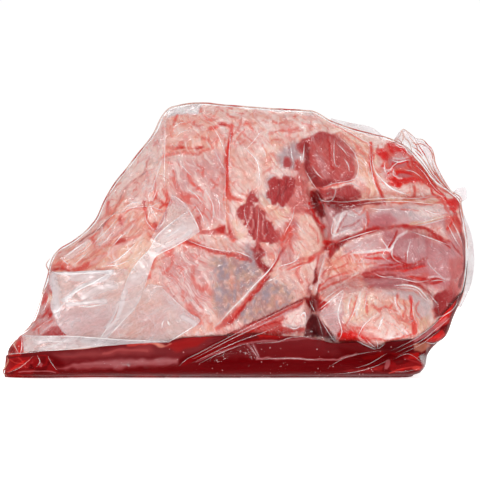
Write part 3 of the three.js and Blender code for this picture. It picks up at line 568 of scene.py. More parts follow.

# The oval muscle, the crevice and the fat that faces it; the crevice's darkness is mostly painted shade
CREVICE_PAINT = (
    patch("lean", 0.95, 0.6, (44, 186), (48, 192), (56, 194), (61, 197), (76, 196), (86, 190), (92, 181),
          (94, 169), (91, 158.5), (84, 156.5), (70, 155), (62, 150), (56, 153), (51, 161), (50, 171),
          (50, 181)),
    patch("lean_light", 0.6, 4, (62, 188), (72, 190), (88, 180), (90, 164), (80, 160), (70, 168), (62, 176)),
    # Painted shade along the oval muscle's left edge and its foot, and darker lines across it
    stroke("lean_dark", 0.65, 1.6, (52, 188), (51, 178), (51, 168), (53, 158)),
    patch("lean_dark", 0.6, 2.5, (54, 162), (70, 161), (74, 157), (64, 152), (57, 153)),
    stroke("lean_dark", 0.35, 1.6, (60, 180), (66, 170), (70, 160)),
    stroke("lean_dark", 0.3, 1.4, (79, 188), (78, 174), (73, 163)),
    stroke("rose", 0.6, 0.6, (56, 193), (60, 187), (64, 182), (69, 184)),
    stroke("rose", 0.65, 0.7, (71, 194), (72, 184), (73, 172), (76, 168)),
    stroke("rose", 0.5, 0.9, (84, 173), (84, 165), (80, 160)),
    stroke("rose", 0.6, 0.9, (75, 191), (82, 184), (90, 176), (92, 166), (89, 157)),
    stroke("blood", 0.45, 0.8, (53, 190), (54, 181), (56, 170)),
    stroke("blood", 0.35, 0.9, (76, 190), (74, 178), (77, 168)),
    stroke("wet", 0.7, 0.9, (94, 160), (92, 158), (86, 156), (74, 155), (66, 152), (60, 151)),
    patch("lean", 0.9, 0.5, (60, 150.5), (75, 151.5), (92, 156), (97, 150), (96, 143.5), (76, 142),
          (62, 141.5), (58, 146)),
    # Painted highlights: pale lines at the edges of a film fold
    stroke("rose", 0.6, 0.5, (60, 151), (63, 144), (73, 143), (75, 150)),
    stroke("pale", 0.55, 0.5, (62, 142.7), (70, 142.5), (80, 142)),
    stroke("pale", 0.6, 0.8, (78, 154), (84, 154.5), (90, 155.5)),
    patch("lean", 0.9, 1.4, (61, 141), (92, 139), (84, 135), (78.8, 132), (73.5, 129), (68, 136)),
    # Painted shade: the dark in the crevice's upper mouth
    patch("maroon", 0.95, 0.6, (56.1, 145), (59.5, 147), (61.5, 140), (61, 132), (63, 125.6), (61.3, 124),
          (58, 132), (56.6, 140)),
    # Painted highlight: the film's pale sheen and a pale line over the crevice's right lip
    patch("rose", 0.8, 0.8, (61.5, 137.6), (69.5, 133.6), (72.1, 131), (70.1, 123), (68.1, 111), (64.8, 119),
          (62.1, 129.6)),
    stroke("pale", 0.6, 0.5, (62, 138), (65, 131), (67, 122), (68.5, 112)),
    stroke("wet", 0.8, 0.9, (72.5, 130), (70.5, 122), (69.5, 112), (70, 106)),
    stroke("blood", 0.9, 1.0, (57, 148), (55, 138), (58, 130), (62, 123), (65, 117), (67, 110), (69, 106)),
    patch("blood", 0.6, 1.5, (52, 134), (56, 136), (58, 130), (53, 132)),
    patch("cream", 0.8, 3, (48, 128), (57, 128), (66, 112), (64, 100), (52, 96), (46, 110)),
    patch("pale", 0.8, 2, (46, 121), (52, 123), (56, 112), (52, 102), (46, 108)),
    stroke("wet", 0.5, 0.7, (57, 122), (60, 116), (61, 110), (58, 104)),
    stroke("wet", 0.4, 0.6, (54, 124), (57, 118), (59, 111)),
    stroke("wet", 0.5, 1.0, (46, 112), (50, 110), (54, 104)),
    stroke("wet", 0.5, 0.8, (36, 125), (40, 118), (39, 108), (44, 100)),
    patch("blood", 0.75, 1.0, (53, 97), (57, 99), (66, 104), (70, 107), (69, 102.5), (58, 95), (54, 93)),
    stroke("wet", 0.7, 1.0, (38, 88), (44, 90), (50, 92), (56, 95), (62, 99)),
    patch("deep", 0.8, 0.8, (68, 104.5), (78, 109), (77, 104), (73, 99), (69.5, 94), (68, 99)),
    stroke("blood", 0.8, 1.0, (70, 102), (67, 95), (64, 88), (62, 82)),
    patch("rose", 0.6, 1.5, (60, 98), (68, 98), (66, 82), (60, 70), (57, 76)),
    # Painted highlight: a pale line on the film along the crevice's right lip
    stroke("pale", 0.8, 0.8, (68.5, 101), (65, 90), (61.5, 80), (59, 68)),
    stroke("wet", 0.7, 0.6, (62, 98), (60.5, 88), (60, 80)),
    # Brine with painted shade down in the crevice
    stroke("deep", 0.9, 0.8, (59.5, 88), (58.8, 80), (57.5, 76)),
    stroke("maroon", 0.9, 0.8, (62, 75), (61, 69), (59.5, 65)),
    stroke("maroon", 0.85, 0.7, (54.5, 74), (55.5, 69), (56.5, 65)),
    stroke("wet", 0.6, 0.7, (64, 84), (63, 78), (66, 72)),
    patch("glare", 0.7, 0.6, (54.6, 72), (56, 74.5), (57, 73), (56, 71)),
    patch("maroon", 0.9, 0.7, (53.5, 64.5), (56, 55), (59.3, 52.2), (62, 55), (67, 59.5), (63, 62), (61, 65),
          (57, 66)),
    patch("blood", 0.85, 0.6, (59.5, 52.6), (67.5, 60.5), (66, 62), (61, 57), (59, 54)),
    # Painted shade: the dark wedge where the film bridges the crevice's foot
    patch("gloom", 0.95, 0.8, (51, 34), (52, 42), (56, 51), (60, 51), (61.5, 44), (66, 39), (75, 28.7),
          (61.5, 32)),
    stroke("lean", 0.6, 0.6, (60, 50), (61, 43), (66, 34)),
    patch("silver", 0.6, 0.8, (52, 44), (56, 51), (51, 51), (49, 46)),
    stroke("rose", 0.5, 0.8, (52, 52), (58, 50.5), (63, 52)),
    # The double fold below the grey patch, with brine drawn up between its layers
    patch("lean_light", 0.85, 0.9, (52, 63.5), (38, 58.5), (20, 49.5), (4, 41.5), (-14, 34.5), (-6, 33),
          (12, 39), (26, 45), (38, 50), (47, 57)),
    patch("blood", 0.8, 1.0, (31, 47), (14, 41), (0, 35.5), (10, 34), (34, 35), (50, 37), (50, 40), (34, 41)),
    patch("lean_light", 0.7, 0.8, (28, 45), (14, 40), (4, 36.5), (16, 37), (32, 41)),
    patch("pale", 0.9, 1.0, (33, 43), (35, 50), (42, 55), (49, 56), (51.5, 49), (50, 41), (42, 39), (35, 40)),
    stroke("silver", 0.6, 1.0, (36, 42), (42, 41), (49, 43)),
    stroke("silver", 0.6, 0.9, (35, 51), (41, 56), (48, 58)),
    stroke("deep", 0.8, 0.5, (52.5, 63.8), (38.8, 58.8), (20.5, 50), (4.5, 42), (-14, 34)),
    stroke("blood", 0.7, 0.6, (50, 60.5), (36, 54), (18, 46), (2, 38.5), (-8, 34)),
    stroke("blood", 0.7, 0.5, (36, 48.5), (18, 42), (2, 35.5)),
    stroke("rose", 0.7, 0.5, (44, 56), (30, 50), (12, 42.5), (-2, 37)),
    patch("lean_light", 0.9, 0.7, (14, 75), (16, 73), (6, 61), (-4, 49), (-10, 43), (-19, 42), (-12, 50),
          (-2, 59)),
    stroke("blood", 0.8, 0.8, (23, 82), (14, 72), (6, 63), (-3, 53), (-10, 45)),
    stroke("wet", 0.7, 0.6, (19, 80), (9, 69.5), (0, 59), (-12, 47)),
    stroke("lean", 0.7, 1.1, (-44, 111), (-34, 107.5), (-20, 101.5), (-8, 99.5), (1, 98), (7, 94.5)),
    stroke("wet", 0.7, 0.8, (-50, 110), (-34, 106.5), (-20, 100.5), (-8, 98.5), (3, 96)),
    patch("lean_light", 0.8, 1.2, (-36, 116), (-20, 119), (-11, 123), (-8, 118), (-4, 110), (-12, 114),
          (-24, 114)),
    patch("blood", 0.6, 0.8, (-20, 118), (-13, 122), (-9, 117), (-16, 114)),
    patch("hazy", 0.6, 4, (-4, 182), (9, 185), (20, 172), (19, 152), (4, 151), (-6, 162)),
    stroke("pale", 0.7, 1.4, (2, 184), (8, 180), (13, 173), (14.5, 166), (14.5, 156)),
    stroke("wet", 0.75, 0.8, (-7.5, 203), (-10.5, 186), (-12, 170), (-12, 156), (-12, 142)),
    stroke("salmon", 0.6, 0.9, (-12, 144), (-12, 130), (-12, 117)),
    stroke("scarlet", 0.5, 0.6, (-8.5, 198), (-11, 180), (-12, 164), (-11.5, 150)),
    stroke("wet", 0.8, 1.1, (-11.5, 160), (-10, 151), (-6, 145), (0, 142)),
    stroke("wet", 0.7, 0.6, (34, 110), (37, 118), (40, 126)),
    stroke("wet", 0.7, 0.6, (36, 108), (38, 114), (39.5, 121)),
    # The same wedge's painted shade, laid again with lighter colours
    patch("maroon", 0.9, 0.6, (52.5, 64), (57, 66), (58.5, 60), (59, 53), (56, 54)),
    patch("pool_light", 0.9, 0.6, (50.5, 35), (50.5, 43), (56.5, 51), (60, 49), (66, 43), (71, 36),
          (75, 30.5), (62, 32)),
    stroke("maroon", 0.8, 0.7, (61, 48), (66, 42), (71, 35)),
    # The cleft above, its red lips and the star where the folds meet
    # Painted shade: the dark of the cleft
    patch("deep", 0.9, 0.7, (58, 149), (61, 149), (64, 142), (66, 136), (66.5, 131), (64, 128.5), (60, 137),
          (58, 144)),
    # Brine with painted shade in the crease below the muscle block
    patch("maroon", 0.9, 0.7, (64, 142), (80, 142), (92, 139.5), (85, 135), (77, 132), (74, 136),
          (68, 139.5)),
    # Painted highlight: the film's pale sheen beside the cleft
    patch("rose", 0.8, 0.9, (67, 138), (74, 135), (74.5, 131), (72, 119), (70.5, 112), (68, 121),
          (66.5, 130)),
    stroke("scarlet", 0.85, 0.8, (57, 137), (60.5, 130), (64, 124), (66, 120)),
    patch("scarlet", 0.9, 0.8, (65, 108), (69, 109.5), (75, 110), (79, 110.5), (78, 106.5), (74, 104),
          (70, 104.5)),
    patch("maroon", 0.9, 0.7, (75, 110), (80, 110.5), (79, 106), (75, 105)),
    patch("lean", 0.85, 0.8, (70.5, 105), (74.5, 105), (73, 99), (70.5, 94), (70, 99)),
    patch("hazy", 0.75, 3, (48, 126), (57, 128), (66, 112), (65, 101), (54, 98), (48, 110)),
    stroke("wet", 0.5, 0.6, (54, 122), (60, 116), (62, 108)),
    patch("lean_light", 0.5, 3, (54, 188), (72, 192), (88, 182), (91, 166), (78, 160), (62, 158), (54, 168)),
    patch("rose", 0.45, 2, (58, 180), (64, 179), (68, 170), (72, 160), (66, 160), (60, 170)),
    stroke("blood", 0.6, 0.8, (69, 192), (71, 184), (71, 176), (74, 168)),
    # Painted shade along the oval muscle's left edge
    stroke("lean_dark", 0.6, 1.0, (53, 186), (53, 176), (54, 168), (58, 160)),
    patch("blood", 0.95, 0.5, (59, 53), (60, 60), (62, 66), (66, 63.5), (69, 60.5), (64, 55)),
    patch("scarlet", 0.7, 0.5, (62, 56), (66, 61), (68, 60), (64, 55.5)),
    # Painted reflection on the film in the middle of the crevice's foot
    stroke("rose", 0.7, 0.5, (58.5, 62), (59, 57), (59.5, 53)),
)

# The folded lobe on the right: wet fat, silverskin, smooth muscle and the round of fat below
LOBE_PAINT = (
    patch("cream", 0.8, 4, (66, 206), (100, 194), (108, 178), (104, 160), (112, 146), (98, 144), (94, 160),
          (92, 182), (80, 194)),
    patch("salmon", 0.6, 3, (92, 186), (103, 188), (105, 170), (100, 158), (95, 168)),
    patch("pale", 0.8, 2.5, (93, 160), (98, 160), (99, 150), (95, 149)),
    patch("pale", 0.8, 3, (112, 157), (126, 151), (136, 147), (124, 144), (110, 146), (108, 152)),
    patch("pale", 0.7, 3, (104, 190), (116, 191), (117, 182), (108, 182)),
    patch("fat", 0.8, 3, (128, 154), (146, 156), (152, 148), (140, 144), (128, 148)),
    patch("wet", 0.8, 2.5, (111, 182), (118, 189), (131, 187), (137, 179), (146, 173), (152, 161), (156, 150),
          (148, 155), (128, 155), (117, 159), (112, 168)),
    patch("mauve", 0.85, 1.5, (117, 174.5), (122, 176), (133, 176.5), (135, 172), (127, 169), (118, 169)),
    patch("mauve", 0.7, 1.5, (123, 163), (134, 167), (143, 165), (137, 161), (126, 160)),
    patch("rose", 0.7, 1.5, (113, 170), (117, 167), (120, 161), (115, 160)),
    patch("rose", 0.6, 1.2, (122, 183), (130, 183), (134, 177), (126, 177)),
    patch("scarlet", 1.0, 0.9, (118, 187), (122, 188), (126, 188.5), (129, 186), (129.5, 181), (123, 179),
          (119, 180.5)),
    patch("scarlet", 0.95, 0.9, (107, 180.5), (112, 181.5), (116, 179), (117, 174), (114, 174.5), (110, 178)),
    patch("scarlet", 0.95, 0.9, (117, 159), (122, 160.5), (130, 159), (130, 155), (127.5, 150.5), (124, 153),
          (120, 156)),
    patch("blood", 0.9, 0.8, (122, 157), (127, 157), (127.5, 152.5), (125, 154)),
    patch("scarlet", 0.9, 1.2, (130, 160), (140, 160), (150, 162), (149, 156), (140, 157), (131, 155)),
    patch("scarlet", 0.9, 0.7, (136.5, 179.5), (140, 178.5), (143.5, 178), (140.5, 176)),
    stroke("scarlet", 0.95, 1.7, (138, 176), (139.5, 170), (143, 165), (148, 160), (152, 154)),
    stroke("blood", 0.8, 0.9, (138.5, 173), (139, 168)),
    stroke("scarlet", 0.8, 0.8, (112, 170), (118, 167), (124, 172), (132, 173.5)),
    stroke("scarlet", 0.8, 0.7, (117, 162), (122, 168), (121, 172)),
    stroke("scarlet", 0.8, 0.9, (122, 161), (126, 165), (134, 164.5), (141, 161)),
    stroke("scarlet", 0.7, 0.7, (130, 178), (133, 175), (134, 170), (138, 166)),
    stroke("glare", 0.6, 0.5, (121, 176), (128, 175.5), (134, 177)),
    stroke("glare", 0.6, 0.5, (122, 164), (124, 161), (129, 159.5)),
    stroke("glare", 0.6, 0.5, (113, 168), (118, 165), (121, 168)),
    stroke("scarlet", 0.85, 1.2, (152, 155), (157, 151), (161, 147), (166, 140)),
    stroke("wet", 0.8, 0.8, (156, 155), (163, 150.5), (170, 146), (176, 142.5)),
    stroke("scarlet", 0.8, 0.9, (153, 150), (154, 147), (157, 144)),
    stroke("wet", 0.8, 1.3, (138.5, 152), (139, 147), (138, 142)),
    stroke("wet", 0.7, 0.9, (126, 141), (134, 143.5), (144, 144.5), (158, 144)),
    stroke("scarlet", 0.8, 1.0, (103, 189), (104, 178), (103.5, 168), (106, 157), (110, 149), (115, 140.5)),
    stroke("wet", 0.7, 0.7, (109, 186), (105, 176), (103, 171)),
    stroke("pale", 0.9, 2.2, (108, 157), (114, 154), (124, 150), (136, 147)),
    stroke("wet", 0.6, 0.7, (111, 156), (118, 154), (126, 151)),
    stroke("salmon", 0.7, 0.8, (112, 147), (124, 146), (136, 146)),
    stroke("wet", 0.5, 0.8, (72, 204), (84, 198), (94, 192), (101, 189)),
    stroke("wet", 0.45, 0.8, (80, 196), (90, 188), (98, 178)),
    patch("pale", 0.8, 2.5, (148, 139), (160, 137), (168, 132), (166, 130), (148, 131)),
    patch("scarlet", 0.95, 0.8, (166, 139.5), (171, 139.5), (171, 134), (168.5, 135.5)),
    patch("blood", 0.9, 0.8, (170, 142), (175, 144), (177.5, 140.5), (173, 136), (171, 139)),
    stroke("blood", 0.8, 1.2, (171, 136), (172, 129), (175, 122), (179, 115)),
    stroke("wet", 0.8, 1.2, (158, 144), (163, 139), (168, 131), (169, 125), (173, 117)),
    stroke("lean", 0.7, 0.8, (176, 140), (177, 130), (178, 121)),
    stroke("tan", 0.75, 1.3, (90, 140.5), (104, 141.5), (120, 142), (138, 141), (156, 140)),
    stroke("scarlet", 0.75, 0.9, (62, 140.5), (78, 140), (92, 140.5), (104, 141)),
    # Silverskin
    patch("rose", 0.85, 3.5, (68, 132), (84, 138), (110, 139), (140, 139), (168, 134), (172, 122), (140, 122),
          (110, 120), (76, 108), (70, 112)),
    patch("silver", 0.6, 3, (74, 130), (92, 136), (100, 130), (92, 120), (76, 112), (71, 120)),
    patch("silver", 0.55, 4, (104, 136), (130, 136), (150, 136), (160, 128), (130, 126), (106, 126)),
    patch("mauve", 0.6, 3, (96, 128), (114, 132), (120, 124), (108, 119), (98, 120)),
    patch("salmon", 0.5, 2.5, (96, 140), (110, 140), (106, 134), (96, 134)),
    patch("pale", 0.55, 3, (140, 136), (158, 134), (164, 129), (146, 130)),
    stroke("tan", 0.7, 1.1, (135, 122.5), (148, 125.5), (160, 129), (170, 129)),
    # Painted highlights: pale lines along film folds over the silverskin
    stroke("pale", 0.7, 0.8, (71, 131), (74, 124), (72, 118), (78, 114), (88, 116)),
    stroke("pale", 0.6, 0.7, (80, 132), (76, 124), (78, 118)),
    stroke("pale", 0.6, 0.7, (88, 117), (96, 118), (99, 121), (96, 126)),
    stroke("deep", 0.4, 0.8, (72, 128), (76, 133), (84, 136)),
    patch("rose", 0.7, 3, (156, 132), (168, 128), (176, 110), (166, 112)),
    stroke("glare", 0.8, 0.7, (72, 112), (77, 124), (80, 132), (84, 134)),
    stroke("glare", 0.7, 0.6, (73, 113), (84, 116), (96, 119)),
    stroke("glare", 0.6, 0.6, (80, 131), (88, 131), (96, 134)),
    stroke("lean", 0.6, 0.7, (76, 116), (80, 126), (84, 131)),
    stroke("lean", 0.5, 0.7, (80, 119), (88, 122), (94, 126)),
    stroke("wet", 0.6, 0.8, (98, 119), (101, 125), (100, 133)),
    stroke("wet", 0.5, 0.7, (88, 137), (94, 132), (98, 136)),
    # Red fold across the lobe
    stroke("blood", 0.85, 1.5, (70, 106.5), (78, 108.5), (88, 113), (98, 116), (108, 119.5)),
    stroke("blood", 0.65, 1.2, (108, 119.5), (120, 120.5), (132, 121)),
    stroke("blood", 0.85, 1.6, (130, 120.5), (142, 119.5), (152, 116), (160, 112), (167, 106)),
    stroke("deep", 0.6, 0.7, (74, 107), (84, 111), (94, 113.5)),
    patch("deep", 0.6, 1.2, (72, 107), (80, 109), (80, 106), (75, 103.5)),
    # Smooth muscle
    patch("mauve", 0.95, 4, (112, 118), (136, 118.5), (160, 108), (176, 108), (181, 90), (172, 68), (150, 74),
          (120, 76), (98, 80), (112, 96), (118, 106)),
    patch("rose", 0.6, 5, (150, 104), (172, 110), (176, 88), (166, 78), (150, 86)),
    patch("lean_light", 0.6, 3, (176, 112), (182, 112), (184, 88), (176, 64), (166, 68), (175, 90)),
    patch("lean_light", 0.8, 3, (94, 84), (112, 86), (148, 86), (152, 78), (130, 79), (108, 78)),
    patch("rose", 0.85, 2.0, (80, 104), (88, 108), (109, 115), (112, 108), (115, 104), (109, 103),
          (93, 101.5), (81, 100)),
    patch("mauve", 0.8, 1.5, (110, 117), (124, 118), (124, 113), (120, 106), (114, 105)),
    patch("rose", 0.6, 3, (88, 100), (112, 99), (116, 92), (98, 91)),
    stroke("glare", 0.8, 0.7, (80, 99.8), (94, 101), (109, 102.8), (117, 104), (120, 106)),
    stroke("glare", 0.7, 0.6, (120, 106), (124, 113), (132, 117)),
    stroke("glare", 0.5, 0.6, (119.5, 106), (120, 98), (124, 94)),
    stroke("blood", 0.8, 0.7, (117, 106), (121, 111), (124, 117)),
    stroke("scarlet", 0.7, 0.7, (84, 98.8), (96, 99), (108, 100.5), (117, 102.5)),
    stroke("scarlet", 0.8, 0.8, (88, 98), (101, 96.5), (114, 96.5), (120, 99)),
    patch("tan", 0.45, 2, (68, 95), (84, 95), (88, 88), (80, 79), (66, 76)),
    patch("salmon", 0.7, 2.5, (74, 100), (96, 99), (94, 90), (84, 92)),
    patch("salmon", 0.6, 3, (64, 80), (84, 84), (98, 78), (90, 73), (70, 70)),
    stroke("wet", 0.6, 0.6, (62, 72), (70, 79), (82, 85), (92, 87)),
    stroke("wet", 0.6, 0.6, (62, 70), (72, 75), (86, 78), (98, 79)),
    stroke("wet", 0.5, 0.5, (63, 67), (72, 70), (84, 73), (96, 74)),
    stroke("wet", 0.6, 0.5, (64, 84), (72, 88), (82, 90)),
    stroke("wet", 0.6, 0.5, (66, 90), (74, 93), (80, 98), (90, 103)),
    stroke("pale", 0.6, 0.7, (63, 73), (74, 80), (88, 82)),
    stroke("pale", 0.6, 0.7, (64, 69), (76, 73), (92, 76)),
    stroke("pale", 0.5, 0.6, (66, 87), (76, 90), (86, 95)),
    stroke("blood", 0.6, 0.6, (100, 74), (112, 77), (124, 76)),
    stroke("wet", 0.8, 1.0, (86, 98), (84, 92), (80, 87), (84, 83)),
    stroke("wet", 0.7, 0.7, (70, 94), (74, 86), (82, 81), (94, 80)),
    stroke("wet", 0.6, 0.6, (68, 88), (70, 80), (78, 75)),
    stroke("wet", 0.6, 0.7, (90, 94), (97, 92), (106, 93)),
    stroke("wet", 0.6, 0.6, (76, 96), (84, 96.5), (92, 95)),
    stroke("pale", 0.8, 0.8, (84, 90), (92, 88), (97, 90)),
    stroke("lean_dark", 0.6, 0.6, (68, 94), (70, 86), (68, 78)),
    patch("scarlet", 0.95, 0.9, (94, 83), (104, 82), (112, 83), (120, 85), (132, 85), (142, 88), (149, 90.5),
          (138, 90.5), (126, 90), (112, 86.5), (102, 85.5)),
    stroke("blood", 0.8, 0.9, (98, 83.5), (110, 84), (122, 87), (136, 88.5)),
    stroke("blood", 0.85, 0.9, (110, 90.5), (122, 91.5), (130, 91), (139, 93), (145, 95), (148, 96.5)),
    stroke("blood", 0.85, 1.2, (117.5, 100), (120.5, 95.5), (126, 93), (129.5, 90.5)),
    stroke("blood", 0.7, 0.7, (121, 98), (126, 95), (130, 92)),
    stroke("blood", 0.7, 0.6, (131, 100), (131, 95), (130, 91)),
    stroke("blood", 0.8, 0.8, (130, 79.5), (140, 79), (150, 78), (160, 79)),
    stroke("blood", 0.75, 0.8, (136, 80), (146, 76.5), (154, 75.5), (162, 77.5)),
    stroke("wet", 0.7, 0.7, (112, 84), (128, 81), (142, 78)),
    stroke("wet", 0.7, 0.8, (122, 73), (132, 71), (142, 68), (150, 60)),
    stroke("blood", 0.7, 0.8, (134, 76), (142, 74), (150, 68), (154, 63)),
    patch("rose", 0.7, 2, (104, 79), (124, 79), (128, 73), (108, 73)),
    stroke("rose", 0.7, 0.8, (150, 98), (151, 90), (158, 83), (164, 78)),
    stroke("glare", 0.5, 0.6, (150, 80), (160, 80.5), (166, 78)),
    stroke("blood", 0.6, 0.8, (150, 114), (160, 110), (168, 104)),
    stroke("blood", 0.6, 0.6, (166, 110), (172, 104), (178, 96)),
    stroke("rose", 0.7, 0.6, (168, 107), (174, 99), (180, 94)),
    patch("deep", 0.75, 2, (156, 67), (170, 69), (172, 62), (163, 52), (155, 47), (153, 56)),
    patch("lean", 0.8, 1.5, (162, 60), (173, 67), (175, 60), (167, 52)),
        # The round of fat
    patch("fat", 0.97, 2.0, (66, 52), (70, 64), (80, 71.5), (94, 73), (106, 70), (120, 70.5), (135, 71),
          (146, 66), (153, 59), (153.5, 50), (149, 41), (140, 34.5), (128, 32), (112, 31), (98, 31), (86, 33),
          (76, 39), (68, 46)),
    patch("cream", 0.8, 3, (80, 64), (98, 69), (108, 66), (108, 56), (92, 46), (82, 48)),
    patch("cream", 0.5, 4, (120, 66), (134, 68), (140, 56), (126, 52)),
    patch("salmon", 0.6, 2.5, (110, 64), (128, 68), (140, 60), (142, 44), (130, 36), (122, 50)),
    patch("rose", 0.8, 1.2, (62, 52), (66, 57), (78, 68), (81, 60), (78, 40), (75.5, 30), (71.5, 39)),
    patch("pale", 0.7, 1.2, (70, 62), (80, 71), (80, 56), (74, 54)),
    patch("pink", 0.7, 2.0, (84, 44), (94, 44), (106, 38), (98, 32), (86, 36)),
    # Silverskin with the film's painted highlight over the round of fat's top
    patch("silver", 0.8, 1.5, (112, 70), (126, 71), (138, 69), (149, 62), (153, 57), (140, 60), (126, 66)),
    patch("silver", 0.7, 1.5, (138, 60), (150, 59), (152, 48), (145, 45), (139, 50)),
    patch("tan", 0.6, 1.5, (142, 48), (150, 50), (152, 43), (144, 36), (140, 38)),
    patch("glare", 0.75, 1.5, (96, 38), (104, 46), (108, 55), (113, 50), (119, 47), (123, 38), (118, 31),
          (102, 31)),
    patch("pink", 0.7, 1.0, (98, 46), (102, 46), (104, 40), (98, 38)),
    stroke("pink", 0.8, 0.9, (106, 48), (104, 41), (108, 34)),
    stroke("wet", 0.6, 0.6, (112, 45), (116, 40), (114, 34)),
    stroke("wet", 0.7, 0.9, (98.8, 69), (98, 62), (99.5, 55)),
    stroke("wet", 0.7, 0.9, (124, 68), (122, 61), (126, 57), (120, 55), (114, 59), (110, 58)),
    stroke("wet", 0.7, 1.0, (104, 60), (108, 57), (110, 52), (105, 48)),
    stroke("wet", 0.7, 0.8, (119, 61), (117, 54), (122, 50), (126, 44)),
    stroke("scarlet", 0.8, 1.2, (134.5, 66), (136, 60), (135, 52), (136.5, 44), (138, 37)),
    stroke("wet", 0.7, 1.8, (137, 50), (138, 44), (137.5, 38)),
    stroke("wet", 0.6, 0.7, (112, 49), (118, 45), (128, 42), (134, 36)),
    stroke("wet", 0.6, 0.6, (129, 64), (130, 56), (128, 48)),
    stroke("wet", 0.6, 0.7, (91, 68), (89, 58), (84, 48), (79, 42)),
    stroke("wet", 0.5, 0.6, (86, 66), (86, 58), (90, 50)),
    stroke("wet", 0.7, 0.9, (88, 41), (96, 40), (104, 42), (110, 38)),
    stroke("wet", 0.5, 0.8, (143, 62), (140, 56), (144, 48)),
    stroke("glare", 0.8, 0.8, (92, 34), (106, 36), (118, 33), (128, 34)),
    stroke("glare", 0.8, 0.9, (118, 49), (126, 43), (134, 35)),
    stroke("glare", 0.7, 0.7, (94, 70), (92, 60), (90, 50)),
    stroke("glare", 0.6, 0.6, (86, 67), (84, 58), (83, 50)),
    stroke("glare", 0.7, 0.7, (122, 66), (122, 60), (126, 54)),
    patch("scarlet", 0.95, 1.0, (79, 40.5), (84, 39), (92, 35), (99, 32.5), (104, 27), (98, 29), (86, 29.5),
          (77, 29)),
    stroke("blood", 0.7, 0.9, (78, 40), (76, 35), (75, 30)),
    stroke("wet", 0.8, 0.9, (100, 32), (108, 31), (118, 30), (128, 33), (138, 36)),
    # Stained fat and dusky muscle right of the crevice
    patch("dusky", 0.6, 3, (62, 78), (78, 84), (96, 80), (92, 72), (70, 68)),
    patch("salmon", 0.6, 3, (64, 92), (84, 98), (98, 92), (90, 84), (70, 82)),
    patch("mauve", 0.8, 2, (95, 83), (104, 83), (130, 81), (136, 77), (122, 73), (106, 74), (98, 77)),
    stroke("wet", 0.7, 0.7, (62, 74), (72, 80), (84, 84)),
    stroke("wet", 0.7, 0.6, (63, 71), (76, 76), (90, 80)),
    stroke("pale", 0.7, 0.6, (64, 66), (74, 73), (84, 77), (92, 84)),
    stroke("wet", 0.6, 0.5, (65, 86), (76, 88), (84, 93)),
    stroke("blood", 0.6, 0.6, (94, 83), (104, 80), (116, 79)),
    stroke("rose", 0.7, 0.6, (104, 77), (118, 76.5), (132, 77.5)),
    patch("lean_light", 0.6, 1.5, (98, 88), (112, 89), (128, 87), (130, 84), (112, 82), (98, 83)),
    stroke("lean", 0.7, 0.9, (112, 88), (122, 87), (134, 89), (146, 92)),
    patch("blood", 0.8, 0.9, (76, 35), (84, 33.5), (92, 32), (100, 29.5), (107, 27), (111, 25), (107, 22),
          (90, 25), (76, 28)),
    patch("scarlet", 0.7, 0.7, (77, 37), (86, 38), (92, 34), (84, 31), (76, 31)),
    stroke("pale", 0.7, 0.7, (92, 33), (97, 29.5), (104, 26)),
    stroke("pale", 0.6, 0.6, (99, 36), (104, 31), (107, 26)),
    patch("hazy", 0.5, 3, (102, 54), (120, 56), (128, 42), (112, 32), (98, 38)),
    patch("lean_light", 0.6, 2.5, (168, 94), (180, 96), (181, 76), (174, 60), (164, 64), (168, 78)),
    # Painted shade along the lobe's right edge, where it turns away
    stroke("lean_dark", 0.75, 1.4, (179, 114), (181, 98), (180.5, 84), (177, 71)),
    patch("pale", 0.8, 1.5, (90, 158), (95, 161.5), (99, 157), (97, 150), (91, 151.5)),
    stroke("wet", 0.8, 1.2, (103, 188), (103, 176), (105, 163), (109, 152), (114, 142)),
    patch("scarlet", 0.85, 1.0, (119, 188), (125, 189), (131, 184), (130, 178), (124, 181), (119, 183)),
    patch("scarlet", 0.8, 0.9, (107, 184), (113, 183), (118, 177), (114, 174), (110, 179)),
    patch("scarlet", 0.7, 0.9, (117, 156), (126, 158), (129, 153), (122, 152)),
    patch("wet", 0.7, 1.5, (136, 166), (146, 163), (150, 158), (140, 159)),
    stroke("wet", 0.8, 0.7, (133, 184), (137, 178), (143, 170), (149, 162)),
    # The dark band under the muscle block, brine with painted shade in its crease, and the streaks across the
    # smooth muscle
    patch("maroon", 0.8, 0.8, (62, 142), (80, 142.5), (100, 142), (116, 141), (112, 138.8), (92, 138.4),
          (84, 135.5), (76, 133), (69, 138)),
    stroke("mauve", 0.8, 0.9, (106, 84.5), (124, 83), (140, 84), (150, 85.5)),
    stroke("mauve", 0.8, 0.7, (102, 88.5), (116, 89.6), (128, 90)),
    stroke("rose", 0.7, 0.5, (112, 82), (128, 81), (144, 82)),
    stroke("lean", 0.8, 0.8, (97, 84), (108, 85.5), (120, 86.5), (134, 88.5)),
    stroke("lean", 0.7, 0.7, (98, 80.5), (110, 81), (122, 80.5)),
    stroke("mauve", 0.7, 0.6, (118, 93), (132, 93.5), (142, 95.5)),
    # The tip where the folds meet
    patch("pale", 0.8, 2, (136, 137), (150, 137), (166, 131.5), (162, 129), (140, 131)),
    patch("mauve", 0.8, 2, (102, 122), (107, 131), (118, 132), (124, 126), (116, 121)),
    stroke("scarlet", 0.9, 0.9, (160, 148), (165, 142), (169, 138), (171, 135)),
    patch("scarlet", 0.95, 0.7, (166, 140), (171, 140), (171.5, 134), (168.5, 136)),
    patch("scarlet", 0.9, 0.7, (173, 142), (176.5, 143), (176, 139), (173, 137)),
    stroke("wet", 0.8, 0.8, (163, 137), (167, 132), (170, 126), (176, 121)),
    stroke("scarlet", 0.8, 0.8, (172, 134), (171, 128), (168, 122), (166, 119)),
    stroke("blood", 0.8, 0.7, (173, 131), (174, 126), (177, 121.5)),
    stroke("wet", 0.7, 0.6, (150, 133), (158, 131), (166, 131)),
